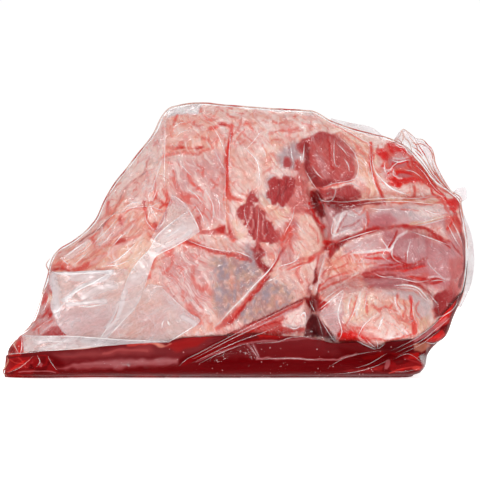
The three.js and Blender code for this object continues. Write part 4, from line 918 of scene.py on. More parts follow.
    stroke("tan", 0.7, 0.7, (135, 122), (150, 125), (166, 129.5)),
    stroke("wet", 0.6, 0.6, (120, 141), (136, 140.5), (150, 139), (162, 141)),
    stroke("wet", 0.6, 0.5, (128, 136), (136, 134), (142, 134)),
    patch("maroon", 0.8, 1.2, (154, 67), (164, 69), (173, 66), (172, 60), (166, 53), (157, 48), (153, 56)),
    stroke("lean", 0.8, 0.9, (166, 66), (166, 58), (160, 52)),
    # Brighter red under the crumpled corner, and brine round the foot of the fat
    patch("scarlet", 0.85, 1.0, (117, 187), (124, 189), (132, 187), (134, 181), (127, 178.5), (120, 181)),
    patch("wet", 0.75, 1.6, (138, 173), (144, 169), (153, 159), (157, 151), (149, 154), (142, 160),
          (137, 167)),
    stroke("scarlet", 0.85, 1.3, (141, 172), (146, 166), (151, 160), (157, 152), (163, 145)),
    patch("scarlet", 0.85, 1.0, (167, 142.5), (176, 144), (178, 139), (174, 134), (168, 134)),
    patch("wet", 0.45, 2, (162, 131), (174, 131), (177, 118), (166, 116)),
    patch("lean", 0.45, 2, (158, 69), (175, 69), (174, 50), (160, 45)),
    patch("wet", 0.4, 1.5, (74, 43), (84, 38), (100, 31.5), (112, 30), (104, 36), (92, 40), (80, 46)),
    patch("scarlet", 0.2, 1.2, (80, 38), (92, 33), (101, 30.5), (97, 35), (86, 40)),
)

# What lies over the mottled fat
UPPER_PAINT = (*FOLD_PAINT, *MUSCLE_PAINT, *CREVICE_PAINT, *LOBE_PAINT)

# Brine: its upper level over the front, and what is painted on it
BRINE_LEVEL = (
    (-190, 17.5), (-176, 20), (-160, 23.2), (-130, 23.6), (-110, 26), (-95, 28.3), (-75, 29.5), (-60, 30.3),
    (-46, 33), (-30, 34), (-10, 35), (10, 36), (30, 34.5), (50, 34), (60, 32.5), (75, 28.5), (90, 29.5),
    (106, 23.5), (116, 30), (136, 31.5), (150, 40), (165, 55), (176, 66),
)
BACK_LEVEL = 27.0
BRINE_PAINT = (
    patch("pool_light", 0.85, 2.5, (-150, 21), (-110, 24), (-60, 29), (-30, 34), (-20, 30), (-36, 22),
          (-52, 15.5), (-100, 15.5), (-140, 12)),
    patch("pool_light", 0.5, 2.5, (-60, 29), (-30, 34.5), (0, 35), (-10, 30), (-30, 24)),
    # Painted shade: a darker band above the pale one
    patch("gloom", 0.35, 2, (-152, 18.5), (-120, 18.5), (-60, 19.5), (-60, 17), (-110, 16.5), (-140, 14)),
    # Painted reflection: the pale band of shine across the brine's roll
    patch("rose", 0.45, 2, (-150, 9.5), (-118, 14.5), (-96, 16.5), (-51, 17), (-51, 11.5), (-90, 9),
          (-130, 7)),
    patch("rose", 0.3, 1.6, (-136, 11), (-100, 15), (-51, 16.4), (-51, 13), (-90, 11.5)),
    patch("lean_light", 0.35, 3, (-148, 19.5), (-110, 23), (-70, 27), (-70, 22), (-110, 18.5), (-140, 16)),
    # Painted light: a brighter red along the foot, against the shade under the pack
    patch("blood", 0.4, 1.5, (-190, 2.5), (-100, 2), (0, 1.6), (140, 3), (140, -2), (-190, -2)),
    patch("blood", 0.5, 1.6, (-60, 27), (-40, 33), (-24, 33.5), (-34, 27), (-52, 22)),
    patch("lean_light", 0.5, 1.5, (-170, 17.5), (-156, 20), (-150, 16), (-164, 14)),
    stroke("wet", 0.65, 0.8, (-90, 26.8), (-78, 27.2), (-66, 28)),
    patch("salmon", 0.75, 0.9, (-72, 28), (-62, 28.8), (-56, 27.5), (-66, 26)),
    stroke("lean_light", 0.4, 0.8, (-110, 21.5), (-90, 23.5), (-74, 23)),
    patch("pool", 0.9, 2, (-50, 9.8), (-30, 13), (0, 15.5), (20, 16.5), (70, 15), (70, 0), (-50, 0)),
    patch("pool_light", 0.5, 2, (10, 29), (50, 32), (75, 27), (80, 20), (40, 16.5), (14, 16), (8, 22)),
    # Painted reflection and highlights: a faint sheen on the brine, and pale lines along the film's folds over
    # it
    patch("rose", 0.12, 2.5, (0, 26), (10, 29), (14, 16.5), (-6, 16), (-24, 18), (-12, 22)),
    stroke("rose", 0.6, 0.6, (12, 16), (24, 17.2), (36, 16.8), (52, 16), (72, 15.4), (80, 16.6), (92, 20)),
    stroke("rose", 0.35, 0.7, (10, 29.6), (30, 30.6), (50, 32.6), (58, 32.4), (70, 30)),
    stroke("rose", 0.5, 0.5, (4, 28), (9, 22), (13, 16)),
    stroke("rose", 0.5, 0.5, (8, 29), (11, 23), (14, 17)),
    # The long double fold that climbs to the crevice
    patch("blood", 0.7, 1.2, (50, 62), (30, 54), (10, 44.5), (-8, 36.5), (-2, 33.5), (20, 41), (36, 48),
          (46, 50)),
    patch("wet", 0.45, 1.5, (48, 62), (30, 53.5), (12, 45), (18, 43), (36, 51)),
    patch("deep", 0.7, 1.5, (-8, 36.5), (-34, 22), (-50, 12.5), (-48, 10), (-26, 18.5), (2, 30)),
    # Painted shade in the double fold's crease
    stroke("gloom", 0.6, 0.7, (30, 54), (10, 44.8), (-10, 35), (-30, 23.6), (-44, 16.6), (-50, 11.5)),
    patch("blood", 0.8, 1.2, (12, 36), (34, 39), (32, 44), (50, 40), (50, 34), (30, 33.5), (14, 32)),
    patch("lean_light", 0.6, 2, (10, 40), (30, 47), (34, 40), (14, 36)),
    stroke("deep", 0.7, 1.0, (30, 33.8), (14, 32), (0, 28.5), (-16, 23.5), (-32, 17)),
    # Painted highlight: a pale line along the fold's lower edge
    stroke("rose", 0.5, 0.5, (28, 31.2), (10, 29.6), (-8, 25.6), (-22, 20.4), (-36, 13)),
    # The gusset at the left end
    patch("blood", 0.75, 0.8, (-188, 22), (-184, 30), (-176, 30), (-175, 18.5), (-186, 18)),
    patch("maroon", 0.9, 0.8, (-193, 15), (-176, 17.5), (-164, 19.5), (-170, 9), (-193, 1)),
    patch("deep", 0.8, 0.6, (-186, 14), (-178, 15.5), (-182, 10)),
    patch("deep", 0.9, 0.5, (-168, 17), (-160, 20), (-153, 19.6), (-154, 12), (-160, 8), (-165, 10)),
    patch("pool", 0.8, 0.5, (-160, 19), (-155, 19), (-156, 13), (-160, 12)),
    patch("deep", 0.8, 0.5, (-182, 6), (-172, 9), (-164, 8), (-168, 4), (-182, 2)),
    stroke("scarlet", 0.7, 0.7, (-184, 6), (-178, 10), (-172, 15)),
    patch("deep", 0.8, 0.8, (-152, 14), (-146, 8), (-145, 5), (-156, 7)),
    patch("lean", 0.6, 0.5, (-166, 17), (-165, 12.5), (-168, 12)),
    patch("rose", 0.5, 0.4, (-160.5, 14), (-158.5, 12), (-159, 9), (-161, 10)),
    stroke("wet", 0.7, 0.4, (-187, 4), (-178, 8), (-172, 12), (-168, 16)),
    stroke("wet", 0.6, 0.4, (-186, 15), (-180, 12), (-172, 12)),
    stroke("wet", 0.6, 0.4, (-178, 17), (-174, 14), (-172, 9)),
    stroke("rose", 0.5, 0.4, (-178, 4), (-172, 6), (-160, 6.5), (-148, 6)),
    # The roll and the facets at the right end
    patch("pool", 0.95, 0.9, (71, 7), (80, 14), (94, 19.5), (110, 22), (116, 16), (104, 12), (88, 7.5),
          (74, 5)),
    patch("blood", 0.35, 1.0, (96, 18), (112, 22), (114, 19), (104, 16)),
    patch("rose", 0.5, 0.5, (114, 15), (117, 15.5), (117, 8), (114, 8)),
    patch("wet", 0.3, 0.5, (104, 9.5), (113, 11), (113, 7.5), (104, 7)),
    patch("lean", 0.4, 0.8, (74, 5), (90, 7.4), (104, 9), (112, 6), (96, 5)),
    patch("pool", 0.9, 1.2, (70, 4), (116, 5), (140, 3), (140, 0), (70, 0)),
    # Painted shade in the gap under the round of fat
    patch("gloom", 0.85, 1.2, (107, 23.5), (114, 30.4), (126, 31), (136, 31.6), (130, 26.5), (120, 22.5)),
    patch("deep", 0.9, 1.0, (120, 21), (134, 22), (146, 14), (146, 8), (134, 7), (120, 5), (117, 12)),
    patch("pool", 0.75, 0.6, (118, 20), (128, 20), (136, 14), (124, 12)),
    patch("blood", 0.8, 0.5, (134, 22), (142, 21), (140, 16), (133, 17)),
    patch("wet", 0.7, 0.4, (136, 9), (142, 10), (144, 7), (138, 6)),
    patch("blood", 0.7, 0.4, (122, 8), (130, 10), (128, 6)),
    stroke("wet", 0.6, 0.4, (118, 5), (128, 9), (140, 10), (146, 9)),
    stroke("lean", 0.6, 0.4, (130, 18), (138, 14), (146, 12)),
    patch("blood", 0.9, 0.6, (146, 30), (160, 38), (163, 33), (158, 28), (150, 27.5)),
    patch("scarlet", 0.7, 0.6, (150, 31), (158, 35), (158, 31)),
    patch("blood", 0.85, 1.0, (150, 46), (160, 50), (170, 60), (174, 66), (166, 44), (156, 38)),
    patch("scarlet", 0.8, 0.7, (158, 50), (168, 56), (170, 54), (162, 45), (157, 44)),
    patch("tan", 0.6, 0.7, (136, 28), (146, 29), (152, 25), (144, 21), (138, 23)),
    patch("rose", 0.55, 0.5, (136, 32), (150, 39), (164, 50), (166, 47), (152, 35), (138, 29)),
)

# Milky film, with some painted highlights and reflections: laid on the film's veil, as strokes and patches of
# whiteness
VEIL_PAINT = (
    patch("veil", 0.32, 1.0, (-60, 213), (-61, 182), (-64, 168), (-70, 150), (-77, 148), (-77, 170),
          (-72, 186), (-67, 200)),
    patch("veil", 0.72, 0.8, (-60, 213.5), (-59, 208), (-52, 210.5), (-34, 212), (-32, 217.5), (-50, 217)),
    patch("veil", 0.6, 0.8, (14, 214.5), (30, 211.5), (38, 213)),
    patch("veil", 0.7, 0.8, (38, 211.5), (54, 207.5), (62, 208.6), (56, 211.5)),
    patch("veil", 0.62, 1.3, (-144, 94), (-137, 101), (-122, 111.5), (-120.5, 108), (-127, 102), (-136, 95)),
    patch("veil", 0.3, 1.6, (-120, 106), (-104, 120), (-88, 130), (-94, 118), (-106, 106)),
    patch("veil", 0.4, 1.4, (-78, 170), (-76, 158), (-80, 150), (-77, 142)),
    patch("veil", 0.22, 2.5, (72, 134), (96, 138), (100, 128), (84, 116), (73, 117)),
    patch("veil", 0.28, 2.0, (80, 107), (92, 111), (110, 116), (112, 103), (90, 101.5)),
    # Painted highlights: the film's white shine over the silverskin band and over the round of fat's top
    patch("veil", 0.36, 3, (130, 138), (164, 134), (170, 130), (150, 125), (134, 124)),
    patch("veil", 0.3, 2, (104, 72), (134, 73), (156, 60), (150, 54), (130, 66)),
    patch("veil", 0.3, 0.8, (61.5, 52), (70, 62), (82, 71), (78, 50), (75, 29)),
    patch("veil", 0.2, 1.5, (124, 112), (146, 112), (148, 96), (134, 91), (120, 100)),
    patch("veil", 0.3, 2, (119, 175), (134, 173), (128, 180), (122, 179)),
    patch("veil", 0.85, 0.7, (131, 184.5), (134, 184), (138, 179), (135, 178), (132, 181)),
    patch("veil", 0.5, 1.4, (144, 180), (148, 182), (154, 172), (160, 160), (168, 148), (160, 154),
          (150, 168)),
    patch("veil", 0.6, 1.2, (140, 18), (146, 20), (149, 14), (147, 10), (144, 13)),
    # Painted reflection: the pale band of shine on the film over the brine, and a faint sheen beside it
    patch("veil", 0.22, 2.2, (-120, 10), (-96, 14.5), (-52, 15), (-52, 11), (-92, 10)),
    patch("veil", 0.12, 1.2, (9, 28), (-6, 24), (-20, 19.5), (-34, 13), (0, 17), (12, 16.4)),
)

# Sheets of film that lie over the pack: two edges each, lift off the film, milkiness
LAID_SHEETS = (
    (((-156, 83.5), (-154.5, 76), (-151, 67), (-152.5, 58), (-149, 49), (-145, 41), (-137.5, 34), (-119, 26)),
     ((-102, 87), (-90, 86), (-95, 66), (-101, 49), (-116, 26.4)), 0.9, 0.2),
    (((-41.5, 135), (-65, 116.5), (-73.2, 103), (-81.2, 94.9), (-89.2, 82.9), (-94.5, 68.3), (-99.9, 49.6),
      (-107.9, 38.9), (-117.4, 25.8)),
     ((-33, 117.3), (-53, 105.8), (-67.5, 97.8), (-72.5, 88), (-76, 76), (-80.5, 64), (-85.5, 55.5),
      (-95, 45.5), (-115.5, 25.6)), 1.5, 0.34),
    (((-55, 146.5), (-59.5, 136), (-66, 123), (-73, 110)),
     ((-43, 138), (-43.3, 133.6), (-57, 121.5), (-70.5, 109.5)), 1.0, 0.16),
    (((-175.5, 34), (-139, 34.2), (-100, 32), (-75, 30.9), (-58, 30.5)),
     ((-173, 21.8), (-140, 23.6), (-113, 25.8), (-75, 29.1), (-59, 29.7)), 1.2, 0.36),
    (((-74, 76), (-86, 57), (-95, 46), (-106, 36), (-114, 27)),
     ((-64, 74), (-52, 62), (-44, 54), (-33, 45.8), (-58, 29.2)), 0.7, 0.2),
)


# Painted highlights: whiter runs in the milky sheets
SHEET_HIGHLIGHTS = (
    stroke("veil", 0.6, 1.4, (-142, 62), (-136, 66.5), (-128.5, 72.5)),
    stroke("veil", 0.45, 1.6, (-139, 59), (-128, 60.5), (-118, 61.5), (-108, 62.5)),
    stroke("veil", 0.6, 1.4, (-126, 73), (-117, 77), (-109, 81), (-103, 85.5)),
    stroke("veil", 0.6, 1.3, (-153, 85), (-140, 83.5), (-120, 85), (-104, 86.5)),
    stroke("veil", 0.45, 2.6, (-150, 80), (-147.5, 66), (-147, 52)),
    stroke("veil", 0.35, 3, (-134, 80), (-122, 80), (-114, 84)),
    stroke("veil", 0.3, 3.5, (-124, 66), (-114, 70), (-104, 76)),
    stroke("veil", 0.25, 2.5, (-62, 110), (-46, 120)),
    stroke("veil", 0.35, 1.2, (-66, 103), (-56, 108), (-40, 117)),
    stroke("veil", 0.35, 2.0, (-92, 70), (-97, 54), (-106, 41)),
    stroke("veil", 0.3, 2.0, (-166, 30), (-150, 31), (-134, 30)),
    stroke("veil", 0.3, 1.5, (-160, 24), (-146, 26), (-132, 26)),
    stroke("veil", 0.35, 1.6, (-46, 50), (-40, 46), (-37, 43)),
)


def pleat(cover, radius, *route):
    return {"cover": cover, "radius": radius, "route": route}


# Pleats: thin folds that stand proud of the film and shine
PLEATS = (
    # Milky tail and flap
    pleat(0.9, 0.55, (-154.5, 85), (-146, 83), (-138.5, 82.9), (-118.5, 84.3), (-102.5, 86.3)),
    pleat(0.81, 0.6, (-102.5, 85.8), (-118.5, 76.3), (-129.2, 70.9), (-141.2, 62.9)),
    pleat(0.77, 0.75, (-141.5, 62.5), (-135, 67), (-129, 72)),
    pleat(0.7, 0.5, (-139, 59), (-129, 60), (-118, 61.5), (-110, 62)),
    pleat(0.59, 0.6, (-130, 58), (-121, 57.5), (-108, 60)),
    pleat(0.51, 0.45, (-149.5, 48), (-143, 58), (-137, 64)),
    pleat(0.7, 0.4, (-88, 95), (-98, 91), (-106, 90), (-112, 89)),
    pleat(0.8, 0.35, (-175, 33.8), (-150, 34.2), (-134, 34), (-100, 31.6), (-73, 30.6), (-58, 30.3)),
    pleat(0.6, 0.3, (-172, 22), (-140, 23.6), (-113, 25.8)),
    pleat(0.5, 0.35, (-168, 31), (-150, 30), (-132, 29.5)),
    pleat(0.5, 0.4, (-160, 24), (-148, 27), (-138, 33)),
    pleat(0.85, 0.4, (-58.5, 29), (-46, 37), (-33, 45.5)),
    pleat(0.6, 0.3, (-33, 46), (-44, 55), (-53, 63), (-64, 74)),
    pleat(0.5, 0.3, (-73, 76), (-66, 74.5), (-60, 74)),
    pleat(0.81, 0.68, (-58.8, 47), (-58, 45), (-57.2, 42.8)),
    pleat(0.7, 0.4, (-61, 48), (-63, 44), (-63, 40)),
    pleat(0.8, 0.35, (-33, 117), (-53, 105.6), (-67.9, 97.6), (-73, 86)),
    pleat(0.75, 0.35, (-41.2, 135), (-65.2, 116.3), (-73.2, 103), (-81.2, 94.9), (-89.2, 82.9),
          (-94.5, 68.3)),
    pleat(0.8, 0.35, (-43.3, 138), (-38, 128), (-32.8, 117.6)),
    pleat(0.6, 0.3, (-54.9, 146.4), (-49, 142.5), (-43.3, 138)),
    pleat(0.42, 0.45, (-64, 112), (-56, 115), (-48, 121)),
    pleat(0.5, 0.4, (-62, 107), (-57, 109), (-52, 113)),
    pleat(0.6, 0.35, (-117, 26), (-107.9, 38.9), (-99.9, 49.6)),
    pleat(0.6, 0.35, (-84, 56), (-90, 51), (-100, 40), (-113, 27)),
    # Flank and pucker
    pleat(0.77, 0.75, (-142, 95.5), (-134, 101.5), (-124, 108.5)),
    pleat(0.7, 0.4, (-145, 96), (-141, 92), (-138, 90)),
    pleat(0.7, 0.35, (-131, 98), (-124, 103), (-117, 110)),
    pleat(0.6, 0.35, (-134, 90), (-127, 96), (-122, 101)),
    pleat(0.5, 0.3, (-120, 112), (-112, 122), (-104, 129), (-96, 134)),
    pleat(0.6, 0.35, (-122, 103), (-112, 113), (-104, 121), (-98, 130)),
    pleat(0.5, 0.3, (-114, 104), (-106, 112), (-100, 121)),
    pleat(0.6, 0.4, (-104, 104), (-96, 113), (-90, 117)),
    pleat(0.7, 0.5, (-106, 91), (-97, 96), (-88, 104), (-84, 108)),
    pleat(0.5, 0.3, (-96, 131), (-90, 135), (-82, 136.5), (-76, 137)),
    pleat(0.6, 0.35, (-98, 130), (-90, 138), (-84, 140), (-78, 138)),
    pleat(0.6, 0.3, (-78, 137), (-72, 137), (-64, 141)),
    pleat(0.7, 0.3, (-74, 140), (-72, 136), (-71, 129)),
    pleat(0.7, 0.3, (-72, 137), (-69, 130), (-66, 125)),
    pleat(0.6, 0.3, (-72, 137), (-74, 130), (-74, 126)),
    pleat(0.6, 0.3, (-72, 137), (-66, 135), (-62, 134)),
    pleat(0.7, 0.3, (-77, 134), (-76, 126), (-71, 119.5), (-67.5, 118)),
    pleat(0.6, 0.3, (-66.5, 118.5), (-62, 125), (-60.5, 133)),
    pleat(0.6, 0.3, (-73, 150), (-74, 145), (-73, 140)),
    pleat(0.5, 0.3, (-67, 152), (-69, 146), (-71, 140)),
    pleat(0.6, 0.3, (-61.2, 207), (-61.2, 180), (-61.5, 165), (-61, 149)),
    pleat(0.5, 0.3, (-62.3, 176), (-67.5, 162), (-73.2, 144)),
    # The tall fold and the slab's top
    pleat(0.4, 0.3, (-7.5, 204), (-9.2, 187.3), (-10, 170.2), (-9.4, 155)),
    pleat(0.35, 0.3, (-12.9, 168), (-13.1, 150), (-13, 135), (-12.6, 118.7)),
    pleat(0.6, 0.3, (-22.3, 182.7), (-16.1, 171.3), (-12.6, 165)),
    pleat(0.6, 0.3, (-24, 202), (-17, 190), (-13, 178)),
    pleat(0.5, 0.3, (17.1, 198.7), (10.2, 189.6), (3.4, 182.7)),
    pleat(0.6, 0.5, (1.7, 184), (7, 179.5), (12.5, 172.5), (14.2, 164.5), (14.2, 156)),
    pleat(0.5, 0.4, (-30, 152), (-24, 142), (-22, 132), (-24, 124)),
    pleat(0.5, 0.4, (-38, 140), (-32, 131), (-29, 122)),
    pleat(0.45, 0.4, (-44, 152), (-36, 146), (-30, 138)),
    pleat(0.45, 0.35, (-22, 150), (-18, 141), (-17, 131)),
    pleat(0.4, 0.3, (-56, 198), (-50, 203), (-43, 204)),
    pleat(0.4, 0.3, (-55, 190), (-48, 196), (-40, 198)),
    pleat(0.4, 0.3, (-50, 176), (-46, 168), (-38, 160)),
    pleat(0.5, 0.35, (-46, 112), (-38, 108.5), (-28, 105), (-14, 102), (-3, 101.5)),
    pleat(0.6, 0.4, (-6, 102), (2, 99.5), (9, 96)),
    # Fern, leaf and the muscles beside them
    pleat(0.3, 0.3, (3.4, 139.3), (2.2, 132.5), (4.5, 124.5), (8, 118)),
    pleat(0.3, 0.3, (13.7, 138), (13.1, 123.3), (11.9, 107.3)),
    pleat(0.4, 0.3, (7, 128), (4, 122), (2, 118)),
    pleat(0.6, 0.35, (39.4, 187.3), (39.9, 178.2), (42.2, 170)),
    pleat(0.6, 0.4, (50.2, 187.3), (49.1, 175.9), (46.8, 170)),
    pleat(0.68, 0.75, (46.2, 177.5), (47.2, 175.5), (47, 173)),
    pleat(0.3, 0.3, (50.2, 166.7), (55.9, 156.5), (62, 148)),
    pleat(0.6, 0.3, (42.2, 137), (39.9, 126.7), (33.1, 114)),
    pleat(0.5, 0.3, (42, 126), (46, 121), (52, 114)),
    pleat(0.5, 0.3, (55.4, 170.2), (60, 163.5), (66, 158)),
    pleat(0.55, 0.3, (74.2, 190.5), (73.7, 176), (75.4, 169), (79.4, 170)),
    pleat(0.5, 0.3, (76, 187), (82, 181), (86, 175)),
    pleat(0.5, 0.4, (81, 176), (85, 170), (86, 164)),
    pleat(0.6, 0.3, (74.2, 194.2), (83.4, 187.3), (90.8, 178.2), (93.1, 168), (91.4, 160), (84.5, 157),
          (73, 155.3), (59.4, 149.8)),
    pleat(0.45, 0.3, (59.9, 148.5), (63.9, 141.8), (71.9, 141.8), (74.8, 148.5), (74.2, 151.3),
          (67.4, 151.5)),
    pleat(0.5, 0.3, (78, 154), (86, 155.5), (95, 152)),
    # Upper right of the lobe
    pleat(0.7, 0.3, (68.5, 204.5), (84.5, 197), (95.9, 190.2), (102.8, 186.2), (106, 181)),
    pleat(0.6, 0.3, (102.4, 188), (103, 171.3), (105.6, 156.5), (110, 146.2), (114.8, 139.3)),
    pleat(0.6, 0.3, (104.5, 180), (105, 170), (109, 160), (116, 148)),
    pleat(0.77, 0.83, (106.5, 165), (113, 157), (121, 150.5), (134, 145.5)),
    pleat(0.6, 0.3, (115.4, 163.3), (121, 169), (126.8, 172.5), (135.9, 173.6)),
    pleat(0.6, 0.3, (114.8, 173.6), (114.2, 165.6), (118, 160)),
    pleat(0.55, 0.5, (119, 174), (126, 172), (134, 174)),
    pleat(0.6, 0.35, (122, 168), (121, 162), (127, 159)),
    pleat(0.5, 0.3, (130, 166), (138, 164), (146, 158)),
    pleat(0.5, 0.3, (137, 172), (146.2, 163), (153.1, 153), (161, 145)),
    pleat(0.7, 0.4, (154.2, 173.6), (160, 161), (166.8, 148.5)),
    pleat(0.6, 0.3, (149, 168), (157, 157), (165, 148)),
    pleat(0.7, 0.35, (122, 188), (126, 184), (131, 183)),
    pleat(0.7, 0.35, (130, 190), (131, 184), (135, 178), (143, 177)),
    # Silverskin band
    pleat(0.55, 0.3, (62, 142.4), (80, 140.4), (100, 142.4), (122, 143.6), (140, 143), (158, 144.8),
          (168, 143.6)),
    pleat(0.5, 0.3, (90, 138), (110, 140.6), (132, 140.6), (156, 138), (170, 135)),
    pleat(0.5, 0.4, (100, 136), (112, 134.5), (124, 136)),
    pleat(0.5, 0.3, (133.7, 122.2), (149.7, 125.8), (168, 129.8)),
    pleat(0.5, 0.3, (136, 120.8), (151, 123.8), (168, 127.4)),
    pleat(0.45, 0.35, (80, 134.5), (74.5, 128), (71.8, 120.5), (72.2, 114.5), (78, 116), (84.5, 118.7),
          (94.8, 120)),
    pleat(0.6, 0.35, (83, 131), (77, 124), (76, 119)),
    pleat(0.5, 0.3, (98.2, 130), (99, 124), (98.2, 116.5)),
    pleat(0.6, 0.5, (146, 134), (154, 131), (162, 130.5)),
    pleat(0.6, 0.35, (164, 124), (170, 112), (175, 104)),
    pleat(0.5, 0.35, (168, 126), (174, 114), (178, 104)),
    # Across the smooth muscle
    pleat(0.7, 0.35, (76, 108.4), (96, 115.3), (108.5, 118.8)),
    pleat(0.6, 0.3, (133.7, 117.6), (149.7, 111.9), (168, 105)),
    pleat(0.7, 0.35, (108.5, 115.3), (115.4, 105), (118, 100)),
    pleat(0.4, 0.3, (126, 114), (121, 107), (116, 103.5), (97, 101), (80, 101.6)),
    pleat(0.6, 0.3, (118.8, 110.7), (115.4, 105), (112, 98), (119, 93)),
    pleat(0.5, 0.3, (134.8, 111.9), (132, 101.6), (131.4, 91.3)),
    pleat(0.5, 0.3, (125.7, 113.6), (120, 106.2), (120, 97), (130, 91)),
    pleat(0.45, 0.3, (147.4, 97), (150, 90), (163, 77.6)),
    pleat(0.5, 0.3, (149.7, 77.6), (157.7, 78.2), (163.4, 76.5)),
    pleat(0.81, 0.68, (119.9, 74.2), (131.4, 74.7), (140.5, 71.9), (146.2, 66.2), (150.8, 60.5)),
    pleat(0.7, 0.35, (122.3, 73), (138.2, 71), (145.1, 63.9), (152, 59.5)),
    pleat(0.6, 0.3, (149.7, 67.3), (153, 63), (156.5, 59.3)),
    pleat(0.6, 0.3, (112, 81), (126, 80), (140, 77), (152, 79)),
    pleat(0.5, 0.3, (104, 85), (112, 81.5), (122, 82)),
    # Bright frame of the pale corner and the round of fat
    pleat(0.95, 0.4, (82.2, 72), (72, 64), (61.1, 55)),
    pleat(0.6, 0.3, (80, 73), (70, 66.5), (61, 59)),
    pleat(0.9, 0.35, (82.2, 71.9), (76.5, 53.6), (79.6, 38), (74.8, 28.8)),
    pleat(0.45, 0.3, (61.1, 50.2), (68, 39), (74.8, 28.5)),
    pleat(0.6, 0.4, (92.5, 66), (89, 54), (83.4, 44)),
    pleat(0.5, 0.35, (99.4, 70), (98.5, 62), (96, 54)),
    pleat(0.5, 0.35, (88, 68), (85, 60), (84, 52)),
    pleat(0.51, 0.45, (108, 54), (97, 44), (92, 34)),
    pleat(0.59, 0.9, (112, 51), (110, 45), (108, 40)),
    pleat(0.5, 0.35, (119, 45), (126, 39), (132, 33)),
    pleat(0.6, 0.3, (122, 68), (122, 62), (124, 56)),
    pleat(0.5, 0.3, (137, 66), (136, 58), (137, 50), (141, 42)),
    pleat(0.6, 0.3, (91, 31), (99, 27), (107, 23.6)),
    pleat(0.6, 0.3, (106.5, 33), (108, 28), (107.9, 24)),
    pleat(0.5, 0.3, (114, 29), (111, 26), (108, 24)),
    pleat(0.5, 0.3, (98, 33), (103, 28), (107.5, 24)),
    # Crevice
    pleat(0.6, 0.3, (68, 101), (64, 90), (61, 78), (60, 68)),
    pleat(0.4, 0.3, (53.7, 62.5), (57.5, 55), (59, 52.5)),
    pleat(0.4, 0.3, (69, 60), (64, 55), (59, 52.5)),
    pleat(0.2, 0.3, (59, 52.5), (61.5, 46), (65, 33)),
    pleat(0.68, 0.45, (55.2, 73), (56, 72), (56.4, 70.6)),
    # The red fold and the double fold below it
    pleat(0.95, 0.4, (30.8, 106.2), (27.4, 94.7), (19.4, 84.5), (10.2, 75.3), (1.1, 65), (-8.1, 55.9),
          (-16.1, 46.7), (-24.1, 38.7)),
    pleat(0.6, 0.3, (29, 100), (22, 87), (13, 78), (4, 68)),
    pleat(0.75, 0.35, (27.4, 89.6), (37.7, 91.9), (43.4, 94.7), (47, 101)),
    pleat(0.6, 0.3, (37, 86), (44, 89), (50, 91.5)),
    pleat(0.5, 0.35, (20, 78), (25, 80), (29, 83)),
    pleat(0.25, 0.3, (52.5, 63.5), (38.8, 58.3), (20.5, 49.2), (4.5, 41.2), (-12.6, 32), (-26.3, 25.2),
          (-41.2, 17.2)),
    pleat(0.3, 0.3, (41, 58), (28, 49.5), (8, 40), (-14, 29), (-40, 15.6)),
    pleat(0.25, 0.3, (35.4, 45.6), (18.2, 37.6), (-1.2, 30.7), (-19.5, 22.7), (-41.2, 12.4)),
    pleat(0.3, 0.35, (9.1, 28.5), (-0.1, 27.3), (-18.3, 20.5), (-34.3, 12.5)),
    pleat(0.3, 0.35, (9.1, 28.5), (27.4, 29.6), (38.8, 33), (50.2, 33.6), (57.1, 31.9), (66, 30.5)),
    pleat(0.3, 0.35, (5.7, 28.5), (10, 22), (13.7, 16.2)),
    pleat(0.3, 0.35, (9.1, 28), (12, 22), (15, 16.2)),
    pleat(0.3, 0.35, (13.7, 15.9), (27.4, 17), (38.8, 17), (56, 15.9), (68.5, 15)),
    pleat(0.25, 0.3, (-50, 10), (-44, 16), (-34, 21), (-22, 26.5)),
    pleat(0.2, 0.3, (-21, 22), (-17, 22.5), (-14, 20), (-20, 18)),
    pleat(0.77, 0.68, (46, 50), (50, 53), (51, 48)),
    pleat(0.59, 0.45, (36, 43), (42, 40), (48, 43)),
    # Brine's long shine, the spindle and the right-hand facets
    pleat(0.25, 0.35, (68, 8.5), (74, 13), (84.5, 18.2), (101.7, 21.6), (113.1, 23.3)),
    pleat(0.25, 0.35, (69.7, 4.5), (84.5, 5), (101.7, 9), (117.7, 15.9)),
    pleat(0.3, 0.3, (90, 9), (102, 13), (116, 21)),
    pleat(0.35, 0.35, (121.1, 20.5), (141.7, 29.6), (156.5, 39.9), (170.2, 50.2)),
    pleat(0.35, 0.3, (118, 22), (138, 32), (154, 43), (166, 53)),
    pleat(0.3, 0.3, (124, 18.5), (144, 28), (160, 39)),
    pleat(0.45, 0.35, (174.5, 66), (171, 56), (162, 50), (154.2, 47.5)),
    pleat(0.35, 0.3, (175, 62), (173, 55), (171, 50)),
    pleat(0.25, 0.3, (120, 16), (132, 20), (141, 15), (146, 9)),
    pleat(0.25, 0.3, (118, 6), (130, 6), (142, 8)),
    pleat(0.35, 0.5, (146, 29), (154, 27), (160, 30)),
    pleat(0.35, 0.3, (-188, 19.5), (-178, 20), (-166, 21.4), (-155, 22.8)),
    pleat(0.35, 0.3, (-187, 4), (-178, 8), (-170, 14), (-165, 19)),
    pleat(0.45, 0.5, (-176, 19), (-175, 26), (-175.5, 32)),
    pleat(0.35, 0.4, (-162, 19), (-160, 14), (-163, 10)),
    pleat(0.35, 0.3, (-154, 19), (-150, 12), (-146, 7)),
    pleat(0.35, 0.3, (-184, 30), (-180, 24), (-177, 19)),
    pleat(0.35, 0.35, (-165, 38), (-157, 44), (-150, 48)),
    pleat(0.35, 0.35, (-162, 34), (-153, 42), (-148, 46)),
    pleat(0.45, 0.5, (-160, 50), (-156, 58), (-153, 66)),
)

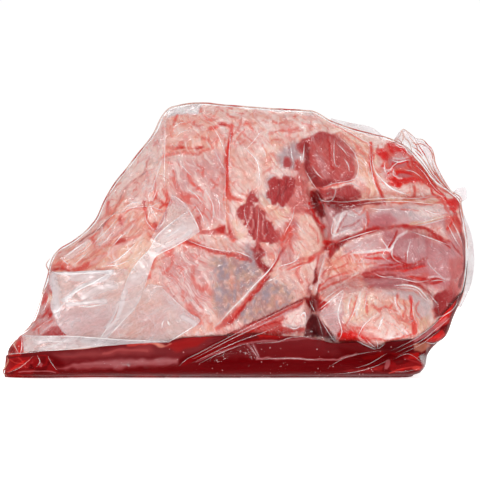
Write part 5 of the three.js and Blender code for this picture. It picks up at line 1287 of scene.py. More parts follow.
# Pleats across the back, from the rim and along the two hollows there
BACK_PLEATS = (
    pleat(0.7, 0.35, (-60, 208), (-52, 188), (-50, 160), (-58, 132)),
    pleat(0.6, 0.3, (-48, 212), (-42, 190), (-36, 172)),
    pleat(0.7, 0.35, (-28, 200), (-24, 170), (-26, 140), (-36, 104), (-30, 70)),
    pleat(0.5, 0.3, (-20, 190), (-16, 160), (-20, 134)),
    pleat(0.5, 0.3, (10, 206), (16, 190), (12, 170)),
    pleat(0.6, 0.35, (56, 200), (50, 178), (52, 160)),
    pleat(0.6, 0.3, (62, 186), (67, 150), (66, 124), (60, 92)),
    pleat(0.5, 0.3, (100, 190), (96, 172), (104, 156)),
    pleat(0.7, 0.35, (172, 132), (150, 126), (128, 128), (110, 134)),
    pleat(0.6, 0.3, (170, 146), (152, 146), (138, 152)),
    pleat(0.6, 0.3, (176, 118), (156, 110), (138, 108)),
    pleat(0.6, 0.35, (176, 70), (156, 66), (136, 72), (120, 84)),
    pleat(0.5, 0.3, (150, 34), (128, 46), (110, 50)),
    pleat(0.5, 0.3, (20, 32), (26, 48), (40, 60)),
    pleat(0.6, 0.35, (-148, 96), (-126, 92), (-104, 98), (-88, 108)),
    pleat(0.5, 0.3, (-152, 84), (-130, 76), (-112, 74)),
    pleat(0.6, 0.3, (-170, 36), (-140, 50), (-112, 56), (-84, 54)),
    pleat(0.6, 0.3, (-120, 30), (-96, 42), (-70, 48)),
)

# The paints whose thin strokes also stand as threads
THREAD_PAINTS = ("wet", "blood", "scarlet", "deep", "maroon")
WIDEST_THREAD = 1.3

# The bag's rim: brine drawn thin along it, as runs from one x to another at the top or the foot
RIM_RUNS = ((top_at, -189, 182), (foot_at, 142, 182))
# Threads of brine in the crumpled corner: radius and route
STRANDS = (
    (0.8, (139, 181), (144, 176), (149, 169), (154, 161), (160, 154)),
    (0.7, (136, 179), (141, 172), (147, 165), (152, 158), (158, 151)),
    (0.6, (137, 184), (142, 181), (146, 176)),
    (0.7, (150, 170), (155, 163), (162, 154), (169, 147)),
    (0.6, (119, 187), (124, 187.5), (130, 185), (134, 181)),
    (0.6, (150, 183), (153, 179), (154, 172)),
    (0.6, (117, 190.5), (120, 190), (122, 188)),
    (0.6, (-154, 94), (-157, 89), (-155, 84), (-154, 79)),
    (0.5, (-155.5, 73), (-158.5, 68), (-159, 62), (-159, 57)),
    (0.5, (-160, 52), (-163, 47), (-167, 43), (-169.5, 39.5), (-174, 35.5)),
    (0.8, (-188, 17), (-186, 14), (-188.5, 9), (-190.5, 4), (-187, 1.5)),
    (0.5, (124, 190), (127, 192), (129, 197), (131, 197.6), (136, 194), (140, 190.6)),
    (0.5, (140, 190.6), (146, 189.2), (150, 185), (153, 183)),
    (0.6, (150, 184), (153, 182), (154.6, 177), (156, 170), (160, 162)),
    (0.5, (158, 166), (162, 158), (168, 149), (172, 146.5)),
    (0.6, (130, 196.5), (131.5, 191), (135, 187), (137, 179.5)),
    (0.5, (133, 195.5), (137, 189), (141, 184), (141, 178)),
    (0.5, (139, 191), (143, 184), (147, 178), (151, 170), (156, 160)),
    (0.6, (129, 197), (130, 191), (128, 186)),
    (0.6, (123, 190.5), (127, 189), (129.5, 185.5)),
    (0.5, (136, 188), (140, 186), (145, 186), (150, 183)),
    (0.5, (152, 176), (155, 166), (161, 156), (168, 148)),
    (0.6, (168, 147), (172, 146), (176, 143), (177, 138)),
    (0.6, (171, 143), (175, 142), (176, 136), (178, 126)),
)

# Film that stands free beyond the meat: buried edge, free edge, place in y, wave, milkiness
FREE_FILM = (
    (((172, 132), (174, 113), (175, 94), (173, 74), (168, 58)),
     ((178.5, 131), (185, 113), (187.4, 94), (185, 73), (177, 54)), 2, 1, 0.45),
    (((71, 200), (84, 193), (97, 189), (112, 186)),
     ((72, 206.5), (88, 203), (104, 199.5), (115, 191.5)), 9, 1, 0.35),
    (((121, 181), (127, 179), (137, 171), (144, 164), (151, 154), (158, 147)),
     ((123, 190), (129.5, 197.5), (140, 191), (151.5, 184), (155, 173), (165.5, 152)), 1, 1.2, 0.5),
    (((166, 142), (170, 141), (172, 136)), ((173, 150), (180, 150.5), (181, 142)), 0, 2, 0.55),
    (((138, 4), (143, 10), (145, 17)), ((143, 1.5), (148, 8), (149.5, 19.5)), -10, 1, 0.3),
)


def paint_mask(mark, x, z, seed):
    """How strongly a stroke or a patch covers each place, 0 to 1, with an uneven edge."""
    ragged = grain(x, 0 * x, z, 4, seed)
    if "route" in mark:
        distance, _ = near_route(softened(mark["route"]), x, z)
        half = mark["half"] * (1 + 0.35 * ragged)
        return 1 - smoothstep(0.5 * half, 1.5 * half + 0.15, distance)
    depth = depth_inside(mark["outline"], x, z) + 0.8 * ragged
    return smoothstep(-mark["soft"], mark["soft"], depth)


def drift(x, z):
    """How far a mark strays from its route or outline at each place, in x and in z."""
    return [1.1 * grain(x, 0 * x, z, 9, seed) + 0.5 * grain(x, 0 * x, z, 3.5, seed + 1) for seed in (21, 23)]


def lay_paint(marks, x, z, cover, put):
    """Calls put(index, share, mark) with the places that each mark covers."""
    stray_x, stray_z = drift(x, z)
    warp_x, warp_z = x + stray_x, z + stray_z
    for number, mark in enumerate(marks):
        points = np.array(mark.get("route") or mark["outline"], float)
        margin = 2 * mark.get("half", 0) + 2 * mark.get("soft", 0) + 3
        low, high = points.min(0) - margin, points.max(0) + margin
        near = cover & (x > low[0]) & (x < high[0]) & (z > low[1]) & (z < high[1])
        index = np.flatnonzero(near)
        if len(index):
            share = mark["strength"] * paint_mask(mark, warp_x[index], warp_z[index], number)
            put(index, share, mark)


def put_over(veil):
    """A put for lay_paint that thickens a veil."""

    def put(index, share, mark):
        veil[index] = 1 - (1 - veil[index]) * (1 - share)

    return put


class BagSizes(bpy.types.PropertyGroup):
    film_gap: bpy.props.FloatProperty(
        name="Film gap", description="Gap between the film and the meat", default=0.9 * MM, min=0.3 * MM,
        max=2 * MM, unit="LENGTH")
    lump_height: bpy.props.FloatProperty(
        name="Lump height", description="Height of the small lumps in the fat", default=0.7 * MM, min=0,
        max=2 * MM, unit="LENGTH")
    film_wall: bpy.props.FloatProperty(
        name="Film wall", description="Thickness of the film where it stands free", default=0.25 * MM,
        min=0.1 * MM, max=1 * MM, unit="LENGTH")
    bubbles: bpy.props.IntProperty(
        name="Bubbles", description="Bubbles caught in the brine behind the film", default=46, min=0, max=120)
    floor_side: bpy.props.FloatProperty(
        name="Floor side", description="Length of the studio floor's side", default=3, min=2, max=20,
        unit="LENGTH")
    camera_distance: bpy.props.FloatProperty(
        name="Camera distance", description="Distance from the camera to the pack's face", default=4, min=1,
        max=8, unit="LENGTH")
    camera_elevation: bpy.props.FloatProperty(
        name="Camera elevation", description="Angle of the camera above the floor", default=np.radians(2),
        min=0, max=1.5, subtype="ANGLE")


def paint_colour(name, description, code):
    return bpy.props.FloatVectorProperty(
        name=name, description=description, subtype="COLOR_GAMMA", size=3, min=0, max=1, default=srgb(code))


class BagColours(bpy.types.PropertyGroup):
    fat: paint_colour("Fat", "Firm outer fat", "E8BBB2")
    # Thin pale strokes along film folds are painted highlights
    pale: paint_colour("Pale fat", "Thick white fat", "F3D6D0")
    hazy: paint_colour("Hazed fat", "Fat seen through slack film", "E9BBAE")
    cream: paint_colour("Cream fat", "Fat with a warm cast", "EEC4AC")
    pink: paint_colour("Pink fat", "Fat with muscle close below it", "E09A94")
    salmon: paint_colour("Salmon fat", "Fat stained by the brine", "E89A84")
    wet: paint_colour("Wet streak", "Thin brine caught under the film", "DA4A3F")
    blood: paint_colour("Red streak", "Deeper brine caught under the film", "B81310")
    scarlet: paint_colour("Bright streak", "Fresh brine caught under the film", "DA1814")
    # Also painted shade, with the brine, down in the crevice and its cleft
    deep: paint_colour("Dark streak", "Brine standing in a fold", "85080C")
    # Brine and darker muscle, and painted shade in the mouth of the crevice and the crease below the muscle
    # block
    maroon: paint_colour("Hollow", "Brine in the mouth of a crevice", "9A1519")
    lean: paint_colour("Lean", "Bare muscle", "B03638")
    lean_light: paint_colour("Light lean", "Muscle with a pale bloom", "C85C58")
    # Darker muscle, and painted shade on muscle in hollows and along its edges
    lean_dark: paint_colour("Dark lean", "Muscle in a hollow", "861F22")
    mauve: paint_colour("Mauve muscle", "Smooth muscle under its skin", "BF6D72")
    # Thin membrane; over the brine and the crevice, rose marks are painted highlights and reflections of the
    # film
    rose: paint_colour("Rose membrane", "Thin membrane over muscle", "CC8E90")
    silver: paint_colour("Silverskin", "Pale silverskin", "CDB2B4")
    dusky: paint_colour("Dusky fat", "Fat with a dull cast", "D49A98")
    ash: paint_colour("Greyed fat", "Thin fat over muscle", "AE807C")
    slate: paint_colour("Blue-grey membrane", "Membrane over thick muscle", "A08F9A")
    tan: paint_colour("Tan edge", "Dried edge of the fat", "D6A080")
    pool: paint_colour("Brine", "Deep brine in the foot of the bag", "600004")
    # Also the painted shade of the wedge at the crevice's foot
    pool_light: paint_colour("Thin brine", "Brine near its upper level", "7A2428")
    # Painted shade: the dark in the crevice's foot, under the round of fat and in the brine's folds
    gloom: paint_colour("Crevice", "The dark between two folds of meat", "55090D")
    glare: paint_colour("Glare", "White shine on thick fat", "F8EEEE")


# Shader maths


class Flow:
    """A value in a material. Arithmetic on it adds Math nodes."""

    def __init__(self, recipe, socket):
        self.recipe, self.socket = recipe, socket

    def math(self, operation, *values):
        return self.recipe.node("ShaderNodeMath", {"operation": operation}, dict(enumerate(values)))

    def __add__(self, other):
        return self.math("ADD", self, other)

    def __sub__(self, other):
        return self.math("SUBTRACT", self, other)

    def __rsub__(self, other):
        return self.math("SUBTRACT", other, self)

    def __mul__(self, other):
        return self.math("MULTIPLY", self, other)

    def __truediv__(self, other):
        return self.math("DIVIDE", self, other)

    def __abs__(self):
        return self.math("ABSOLUTE", self)

    __radd__ = __add__
    __rmul__ = __mul__

    def held(self, low, high, to_low=0, to_high=1):
        """The value carried from one range to another and held inside it."""
        inputs = {"Value": self, "From Min": low, "From Max": high, "To Min": to_low, "To Max": to_high}
        return self.recipe.node("ShaderNodeMapRange", {"clamp": True}, inputs)


class Recipe:
    """A material made round one Principled shader."""

    def __init__(self, name, **constants):
        self.material = bpy.data.materials.new(name)
        self.material.use_nodes = True
        self.tree = self.material.node_tree
        self.shader = self.tree.nodes["Principled BSDF"]
        for key, value in constants.items():
            self.shader.inputs[key.replace("_", " ")].default_value = value

    def feed(self, socket, value):
        if isinstance(value, Flow):
            self.tree.links.new(value.socket, socket)
        else:
            socket.default_value = value

    def node(self, kind, settings=None, inputs=None, output=0):
        """Adds a node. Returns the output that is asked for, or a tuple of several."""
        made = self.tree.nodes.new(kind)
        for key, value in (settings or {}).items():
            setattr(made, key, value)
        for key, value in (inputs or {}).items():
            self.feed(made.inputs[key], value)
        if isinstance(output, tuple):
            return tuple(Flow(self, made.outputs[each]) for each in output)
        return Flow(self, made.outputs[output])

    def place(self):
        return self.node("ShaderNodeTexCoord", output="Object")

    def stretched(self, place, turn, scale):
        """Coordinates turned about y and scaled, for a pattern that runs down to the right by that turn."""
        inputs = {"Vector": place, "Rotation": (0, turn, 0), "Scale": tuple(1 / each for each in scale)}
        return self.node("ShaderNodeMapping", {"vector_type": "TEXTURE"}, inputs)

    def bent(self, place, scale, amount):
        """Coordinates bent by a slow noise, so that a pattern's run swirls."""
        push = self.node("ShaderNodeTexNoise", None, {"Vector": place, "Scale": scale, "Detail": 2}, "Color")
        inputs = {0: push, 1: (amount,) * 3, 2: place}
        return self.node("ShaderNodeVectorMath", {"operation": "MULTIPLY_ADD"}, inputs)

    def noise(self, place, scale, detail=3, roughness=0.55, warp=0):
        return self.node("ShaderNodeTexNoise", inputs={
            "Vector": place, "Scale": scale, "Detail": detail, "Roughness": roughness, "Distortion": warp})

    def facets(self, place, scale):
        """Height of flat facets, each with its own random tilt, as crumpled film has."""
        cell = {"Vector": place, "Scale": scale}
        tilt, middle = self.node("ShaderNodeTexVoronoi", None, cell, ("Color", "Position"))
        tilt = self.node("ShaderNodeVectorMath", {"operation": "SUBTRACT"}, {0: tilt, 1: (0.5, 0.5, 0.5)})
        away = self.node("ShaderNodeVectorMath", {"operation": "SUBTRACT"}, {0: place, 1: middle})
        return self.node("ShaderNodeVectorMath", {"operation": "DOT_PRODUCT"}, {0: away, 1: tilt}, "Value")

    def hairlines(self, place, scale, width, low, high, warp=1.0):
        """Thin curved lines, 0 to 1, that come and go."""
        wander = self.noise(place, scale, 2, 0.5, warp)
        gate = self.noise(place, 0.7 * scale, 2, 0.6, 0.3)
        return abs(wander - 0.5).held(0, width, 1, 0) * gate.held(low, high)

    def mix(self, factor, first, second, blend="MIX"):
        settings = {"data_type": "RGBA", "blend_type": blend, "clamp_factor": True}
        return self.node("ShaderNodeMix", settings, {0: factor, 6: first, 7: second}, output=2)

    def bump(self, height, distance, strength=1.0):
        inputs = {"Height": height, "Distance": distance, "Strength": strength}
        return self.node("ShaderNodeBump", inputs=inputs)

    def attribute(self, name, output="Color"):
        return self.node("ShaderNodeAttribute", {"attribute_name": name}, output=output)

    def set(self, **flows):
        for key, value in flows.items():
            self.feed(self.shader.inputs[key.replace("_", " ")], value)
        return self.material


def flat(code):
    return (*linear(srgb(code)), 1)


def meat_material(colours):
    """Wet raw fat and muscle: its painted tint, finely marbled where it is fat, with white glints painted as
    highlights.
    """
    recipe = Recipe("Wet fat and muscle", IOR=1.4, Specular_IOR_Level=0.25, Coat_Roughness=0.12,
                    Subsurface_Weight=0.12, Subsurface_Radius=(0.9, 0.35, 0.25), Subsurface_Scale=0.003)
    place = recipe.place()
    tint = recipe.attribute("tint")
    fatty = recipe.attribute("fat_share", "Fac")
    fine = recipe.noise(place, 900, 3, 0.6)
    lumps = recipe.noise(place, 260, 3, 0.55, 0.4)
    swirl = recipe.bent(place, 38, 0.02)
    steep, rising = (recipe.stretched(swirl, turn, (0.36, 1, 2.4)) for turn in (1.0, -0.65))
    flank = recipe.node("ShaderNodeSeparateXYZ", inputs={"Vector": place}).held(-0.08, -0.05, 1, 0)
    steep_wisps, rising_wisps = (recipe.noise(run, 150, 4, 0.55, 0.5) for run in (steep, rising))
    wisps = steep_wisps * (1 - flank) + rising_wisps * flank
    flecks = recipe.noise(recipe.stretched(swirl, 0.7, (0.35, 1, 1.8)), 95, 4, 0.6, 0.8)
    fibre = recipe.noise(recipe.stretched(place, 0.7, (1, 1, 5)), 220, 2, 0.5)
    painted_glint_lines = recipe.hairlines(steep, 62, 0.018, 0.42, 0.58, 1.0)
    red_lines = recipe.hairlines(rising, 52, 0.015, 0.42, 0.58, 1.2)
    pale, red, pink, glare = (
        (*linear(colour_of(colours, name)), 1) for name in ("pale", "wet", "pink", "glare"))
    toned = recipe.mix(wisps.held(0.53, 0.62, 0, 0.6) * fatty, tint, pale)
    toned = recipe.mix(wisps.held(0.48, 0.38, 0, 0.62) * fatty, toned, pink)
    toned = recipe.mix(flecks.held(0.58, 0.66, 0, 0.55) * fatty, toned, red)
    # Painted highlights: white glint flecks
    toned = recipe.mix(flecks.held(0.4, 0.32, 0, 0.38) * fatty, toned, glare)
    toned = recipe.mix(red_lines * fatty * 0.7, toned, red)
    # Painted highlights: thin white glint lines
    toned = recipe.mix(painted_glint_lines * (fatty * 0.5 + 0.1), toned, glare)
    shade = fine.held(0.3, 0.7, 0.92, 1.06) * lumps.held(0.3, 0.7, 0.92, 1.06)
    grey = recipe.node("ShaderNodeCombineColor", inputs={0: shade, 1: shade, 2: shade})
    toned = recipe.mix(1.0, toned, grey, "MULTIPLY")
    height = lumps * 0.5 + fine * 0.1 + fibre * 0.2 + wisps * 2.4
    return recipe.set(
        Base_Color=toned, Roughness=lumps.held(0.3, 0.7, 0.36, 0.55),
        Coat_Weight=fibre.held(0.35, 0.65, 0.0, 0.12), Normal=recipe.bump(height, 0.0012, 0.6))


def brine_material():
    """Dark brine behind film: glossy, with a slow change of depth."""
    recipe = Recipe("Brine", IOR=1.34, Specular_IOR_Level=0.08)
    place = recipe.place()
    tint = recipe.attribute("tint")
    cloud = recipe.noise(recipe.stretched(place, 0, (0.35, 1, 1.3)), 90, 3, 0.6, 0.5)
    ripple = recipe.noise(recipe.stretched(place, 0.05, (0.3, 1, 1)), 160, 2, 0.5)
    toned = recipe.mix(cloud.held(0.45, 0.75, 0, 0.12), tint, flat("962224"))
    return recipe.set(
        Base_Color=toned, Roughness=cloud.held(0.3, 0.7, 0.3, 0.45),
        Normal=recipe.bump(ripple, 0.0012, 0.5))


def film_material(name, code="F2ECEC", crease=1.0, grazing=0.12, rough=0.11):
    """Clear shrunk film: see-through, with shining facets, fine white creases painted as highlights, and its
    veil's whiteness.
    """
    recipe = Recipe(name, Base_Color=flat(code), IOR=1.5)
    place = recipe.place()
    slack = recipe.bent(place, 22, 0.03)
    pulls = recipe.stretched(slack, -0.5, (0.7, 1, 3))
    tucks = recipe.stretched(slack, 1.1, (0.7, 1, 2.4))
    soft = recipe.noise(pulls, 60, 2, 0.5, 0.8)
    height = recipe.facets(pulls, 55) * 500 + recipe.facets(tucks, 130) * 320 + soft * 1.6
    normal = recipe.bump(height, 0.001 * crease, 1.0)
    veil = recipe.attribute("veil", "Fac")
    shine = recipe.node("ShaderNodeFresnel", inputs={"IOR": 1.5}).held(0.04, 0.9, 0.05, grazing)
    shine = shine * veil.held(-0.2, -0.1, 0.4, 1)
    cover = (veil * soft.held(0.25, 0.75, 0.75, 1.25)).held(-1, 1, -1, 1)
    if crease:
        # Painted highlights: thin white crease lines added to the film's whiteness
        wide = recipe.hairlines(pulls, 48, 0.02, 0.45, 0.6)
        narrow = recipe.hairlines(tucks, 75, 0.025, 0.46, 0.6)
        fine = wide * 0.22 + narrow * 0.18
        cover = (cover + fine * crease).held(-0.02, 1, -0.02, 1)
    alpha = shine + cover - shine * cover
    return recipe.set(
        Metallic=(shine / alpha).held(0, 1), Alpha=alpha, Normal=normal,
        Roughness=soft.held(0.3, 0.7, rough, rough + 0.1))


# Meshes


def film_face(x, z, lift=0.0):
    """Where the film's front face lies in y, or a place lifted off it towards the viewer."""
    return rim_plane(x, z) - film_reach(x, z, FRONT) - lift


def film_back(x, z):
    """Where a pleat lies on the film's back face in y."""
    return rim_plane(x, z) + film_reach(x, z, BACK) + 0.1


def evenly_along(route, t):
    """Places at shares t of a smooth curve through a route, spread by its length."""
    points = softened(route, 8)
    run = np.concatenate(((0,), np.cumsum(np.hypot(*np.diff(points, axis=0).T))))
    return np.stack([np.interp(t * run[-1], run, points[:, i]) for i in (0, 1)], -1)


def in_frame(places):
    """Millimetres in the pack's axes to metres in the frame."""
    shift = np.array((BAG_LOW.x / MM - LEFT_TIP, RIM_PLANE_Y, 0))
    return (np.asarray(places) + shift) * MM


def move_vertices(bm, places):
    for vertex, place in zip(bm.verts, places):
        vertex.co = place


def spaced_heights(station, side, count, ceiling):
    """Heights up one side of a section, evenly spaced along its plain form and sparse under the foot."""
    foot = foot_at(station)
    top = top_at(station)
    if ceiling is not None:
        top = min(top, max(float(ceiling(station)), foot + 0.5))
    height = max(top - foot, 0.2)
    above = min(FOOT_ROUNDING, 0.4 * height)
    near_foot = np.linspace(0, 1, 160, endpoint=False) ** 4 * above
    rest = above + (height - above) * (1 - (1 - np.linspace(0, 1, 240)) ** (2 if ceiling is None else 1))
    z = foot + np.concatenate((near_foot, rest))
    y = plain_reach(station, z, side)
    step = np.hypot(np.diff(y), np.diff(z))
    under = np.diff(z) < 0.25 * np.abs(np.diff(y))
    step = np.where(under & (z[1:] < foot + 0.5 * height), 0.3 * step, step)
    run = np.concatenate(((0,), np.cumsum(step + 1e-6)))
    return np.interp(np.linspace(0, run[-1], count + 1), run, z)


crevice_at = curve_through([(0, CREVICE_X), *((z, x) for x, z in reversed(CREVICE)), (185, CREVICE_X)])


def carried_by(station, z):
    """Columns of the front face lean with the crevice, so that it stays crisp."""
    near = np.clip(1 - ((station - CREVICE_X) / CREVICE_PULL) ** 2, 0, 1)
    return near * near * (crevice_at(z) - CREVICE_X)


def wrapped_sphere(stations, ring, front_share, ceiling=None):
    """A sphere for the pack's sections: mesh, each vertex's x and z, which face the front, and the poles."""
    bm = bmesh.new()
    bmesh.ops.create_uvsphere(bm, u_segments=ring, v_segments=stations, radius=1)
    ball = np.array([vertex.co for vertex in bm.verts])
    row = np.rint(np.arccos(np.clip(ball[:, 2], -1, 1)) / np.pi * stations).astype(int)
    turn = np.rint(np.arctan2(ball[:, 1], ball[:, 0]) / (2 * np.pi) * ring).astype(int) % ring
    front = round(ring * front_share)
    share = np.linspace(-1, 1, stations + 1)
    share = share * (1 - END_CROWDING) + np.sin(share * np.pi / 2) * END_CROWDING
    at = LEFT_TIP + (RIGHT_TIP - LEFT_TIP) * (share + 1) / 2
    heights = np.zeros((stations + 1, ring))
    for i, station in enumerate(at):
        behind = ring - front - (ceiling is not None)
        heights[i, : front + 1] = spaced_heights(station, FRONT, front, ceiling)
        down = spaced_heights(station, BACK, behind, ceiling)[::-1]
        heights[i, front + 1 :] = down[1:-1] if ceiling is None else down[:-1]
    x, z = at[row], heights[row, turn]
    faces_front = turn <= front
    x = x + np.where(faces_front, carried_by(x, z), 0)
    pole = (row == 0) | (row == stations)
    x = np.where(pole, at[row], x)
    z = np.where(pole, (foot_at(x) + np.minimum(top_at(x), foot_at(x) + 6)) / 2, z)
    return bm, x, z, faces_front, pole


def skin_places(x, z, faces_front, pole, reach):
    """Places of the pack's surface at the given heights."""
    out = np.where(faces_front, -reach(x, z, FRONT), reach(x, z, BACK))
    out = np.where(pole, 0, out)
    return np.stack((x, rim_plane(x, z) + out, np.where(z < FLAT_FOOT_BELOW, 0, z)), -1)


def face_outwards(bm):
    bmesh.ops.recalc_face_normals(bm, faces=bm.faces)
    if bm.calc_volume(signed=True) < 0:
        bmesh.ops.reverse_faces(bm, faces=bm.faces)
    bm.normal_update()


def vertex_normals(bm):
    face_outwards(bm)
    return np.array([vertex.normal for vertex in bm.verts])


def finished_piece(name, bm, places, material, colour=None, values=None):
    """Puts a mesh into the frame, gives it its paint and stores it as a piece."""
    move_vertices(bm, in_frame(places))
    face_outwards(bm)
    return stored_piece(name, bm, material, colour, values)


def stored_piece(name, bm, material, colour=None, values=None):
    """Makes a mesh that is in the frame into a piece of the pack. Values are fat's share, or else a veil."""
    mesh = bpy.data.meshes.new(name)
    bm.to_mesh(mesh)
    bm.free()
    mesh.polygons.foreach_set("use_smooth", np.ones(len(mesh.polygons), bool))
    if colour is not None:
        layer = mesh.attributes.new("tint", "FLOAT_COLOR", "POINT")
        rows = np.concatenate((colour, np.ones((len(colour), 1))), 1)
        layer.data.foreach_set("color", rows.astype(np.float32).ravel())
    if values is not None:
        layer = mesh.attributes.new("veil" if colour is None else "fat_share", "FLOAT", "POINT")
        layer.data.foreach_set("value", values.astype(np.float32))
    mesh.materials.append(material)
    piece = bpy.data.objects.new(name, mesh)
    bpy.context.scene.collection.objects.link(piece)
    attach(piece, "root")
    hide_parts("sealed_bag")
    piece.visible_shadow = "film" not in name
    return piece


def sheet_between(edge_a, edge_b, across_steps, along_steps):
    """A grid between two edges: its mesh, each vertex's share across it, and its x and z."""
    bm = bmesh.new()
    bmesh.ops.create_grid(bm, x_segments=across_steps, y_segments=along_steps, size=1)
    across, along, _ = (np.array([vertex.co for vertex in bm.verts]).T + 1) / 2
    a, b = evenly_along(edge_a, along), evenly_along(edge_b, along)
    x, z = (a * (1 - across[:, None]) + b * across[:, None]).T
    return bm, across, x, z


def add_sheet(name, bm, places, wall, material, veil):
    """Gives a bent grid its wall and its veil, and stores it."""
    layer = bm.verts.layers.float.new("veil")
    for vertex, value in zip(bm.verts, veil):
        vertex[layer] = value
    move_vertices(bm, in_frame(places))
    bmesh.ops.recalc_face_normals(bm, faces=bm.faces)
    bmesh.ops.solidify(bm, geom=bm.faces[:], thickness=wall)
    face_outwards(bm)
    return stored_piece(name, bm, material)


# Paint of the whole surfaces

# How much of a paint is fat, and how far it lies sunk below the fat
FAT_SHARES = {"fat": 1, "pale": 1, "cream": 1, "pink": 1, "salmon": 1, "dusky": 1, "ash": 0.6, "tan": 0.7,
              "hazy": 0.4, "rose": 0.15}
SUNK_SHARES = {"lean": 1.0, "lean_dark": 1.4, "lean_light": 0.7, "mauve": 0.4, "blood": 0.7, "deep": 1.0,
               "wet": 0.3, "scarlet": 0.5, "gloom": 1.5, "maroon": 1.2, "slate": 0.4, "ash": 0.2}
# Speckles of the mottled patch: paint, size, seed and strength
SPECKLES = (("hazy", 2.2, 56, 0.65), ("slate", 2.6, 57, 0.75), ("tan", 3.4, 59, 0.4))


def colour_of(colours, name):
    return np.array(getattr(colours, name), float)


def blended(colour, share, paint):
    share = np.clip(share, 0, 1)[:, None]
    return colour * (1 - share) + paint * share


def marbled_fat(colours, x, y, z):
    """Fat with paler lobes, pinker hollows and thin red seams, before anything is laid over it."""
    fat, pale, pink, cream, salmon, wet = (
        colour_of(colours, name) for name in ("fat", "pale", "pink", "cream", "salmon", "wet"))
    bend_x = x + 5 * grain(x, y, z, 15, 31) + 2 * grain(x, y, z, 6, 29)
    bend_z = z + 5 * grain(x, y, z, 15, 32) + 2 * grain(x, y, z, 6, 30)
    flank = 1 - smoothstep(-75, -50, x)
    lobe = smoothstep(50, 75, x)
    streaks = seams = 0
    for weight, angle, seed in ((flank, 0.7, 33), (1 - flank - lobe, 1.9, 133), (lobe, 0.15, 233)):
        run = bend_x * np.cos(angle) + bend_z * np.sin(angle)
        across = bend_z * np.cos(angle) - bend_x * np.sin(angle)
        streaks = streaks + weight * grain(run / 2.6, y / 2, across, 2.6, seed)
        line = grain(run / 2.2, y / 2, across, 6, seed + 5) + 0.18 * grain(x, y, z, 2.5, seed + 6)
        seams = seams + weight * (1 - smoothstep(0.0, 0.13, np.abs(line)))
    lobes = 0.6 * grain(bend_x, y, bend_z, 12, 34) + 0.5 * grain(bend_x, y, bend_z, 5.5, 35)
    small = grain(bend_x, y, bend_z, 2.6, 36)
    colour = np.repeat(fat[None], len(x), 0)
    colour = blended(colour, 0.45 * smoothstep(0.1, 0.6, grain(x, y, z, 30, 37)), cream)
    colour = blended(colour, 0.9 * smoothstep(0.0, 0.45, lobes + 0.35 * small), pale)
    colour = blended(colour, 0.75 * smoothstep(0.05, 0.5, -lobes + 0.4 * small), pink)
    colour = blended(colour, 0.6 * smoothstep(0.12, 0.55, streaks), salmon)
    colour = blended(colour, 0.6 * smoothstep(0.2, 0.6, -streaks + 0.3 * small), pale)
    return blended(colour, 0.5 * seams * smoothstep(-0.25, 0.45, grain(x, y, z, 20, 39)), wet)


def painted_meat(colours, x, y, z, faces_front):
    """The brisket's colour at each place, how far it lies sunk below the fat, and how much of it is fat."""
    colour = marbled_fat(colours, x, y, z)
    sunk = np.zeros(len(x))
    fatty = np.ones(len(x))

    def put(index, share, mark):
        share = share**0.75
        colour[index] = blended(colour[index], share, colour_of(colours, mark["paint"]))
        sunk[index] = np.maximum(sunk[index], share * SUNK_SHARES.get(mark["paint"], 0))
        fatty[index] = fatty[index] * (1 - share) + share * FAT_SHARES.get(mark["paint"], 0)

    lay_paint((*SLAB_PAINT, *MOTTLE_PAINT), x, z, faces_front, put)
    mottled = paint_mask(MOTTLED, x, z, 58) * faces_front
    for paint, size, seed, share in SPECKLES:
        spots = share * mottled * smoothstep(0.12, 0.5, grain(x, y, z, size, seed))
        colour = blended(colour, spots, colour_of(colours, paint))
    fatty = fatty * (1 - 0.55 * mottled)
    lay_paint(UPPER_PAINT, x, z, faces_front, put)
    behind = ~faces_front
    window = grain(x, 0 * x, z, 44, 51)
    ragged = window + 0.35 * grain(x, y, z, 12, 52) + 0.1 * grain(x, y, z, 4, 55)
    muscle = smoothstep(0.16, 0.26, ragged) * behind
    colour = blended(colour, 0.8 * muscle, colour_of(colours, "mauve"))
    core = smoothstep(0.32, 0.5, window + 0.3 * grain(x, y, z, 8, 53)) * behind
    colour = blended(colour, 0.7 * core, colour_of(colours, "lean"))
    fatty = fatty * (1 - muscle)
    runs = 1 - smoothstep(0, 0.08, np.abs(grain(x * 0.7, y, z, 26, 54)))
    colour = blended(colour, 0.5 * runs * behind, colour_of(colours, "wet"))
    dark = np.where(behind, 0.9 * (1 - smoothstep(BACK_LEVEL - 2, BACK_LEVEL + 2, z)), 0)
    colour = blended(colour, dark, colour_of(colours, "pool"))
    for route, half, *_ in BACK_CREASES:
        distance, _ = near_route(softened(route), x, z)
        line = np.exp(-((distance / (0.45 * half)) ** 2))
        colour = blended(colour, 0.8 * behind * line, colour_of(colours, "deep"))
    return colour, sunk, fatty


# Operators


def settings(context):
    return context.scene.bagged_brisket_sizes, context.scene.bagged_brisket_colours


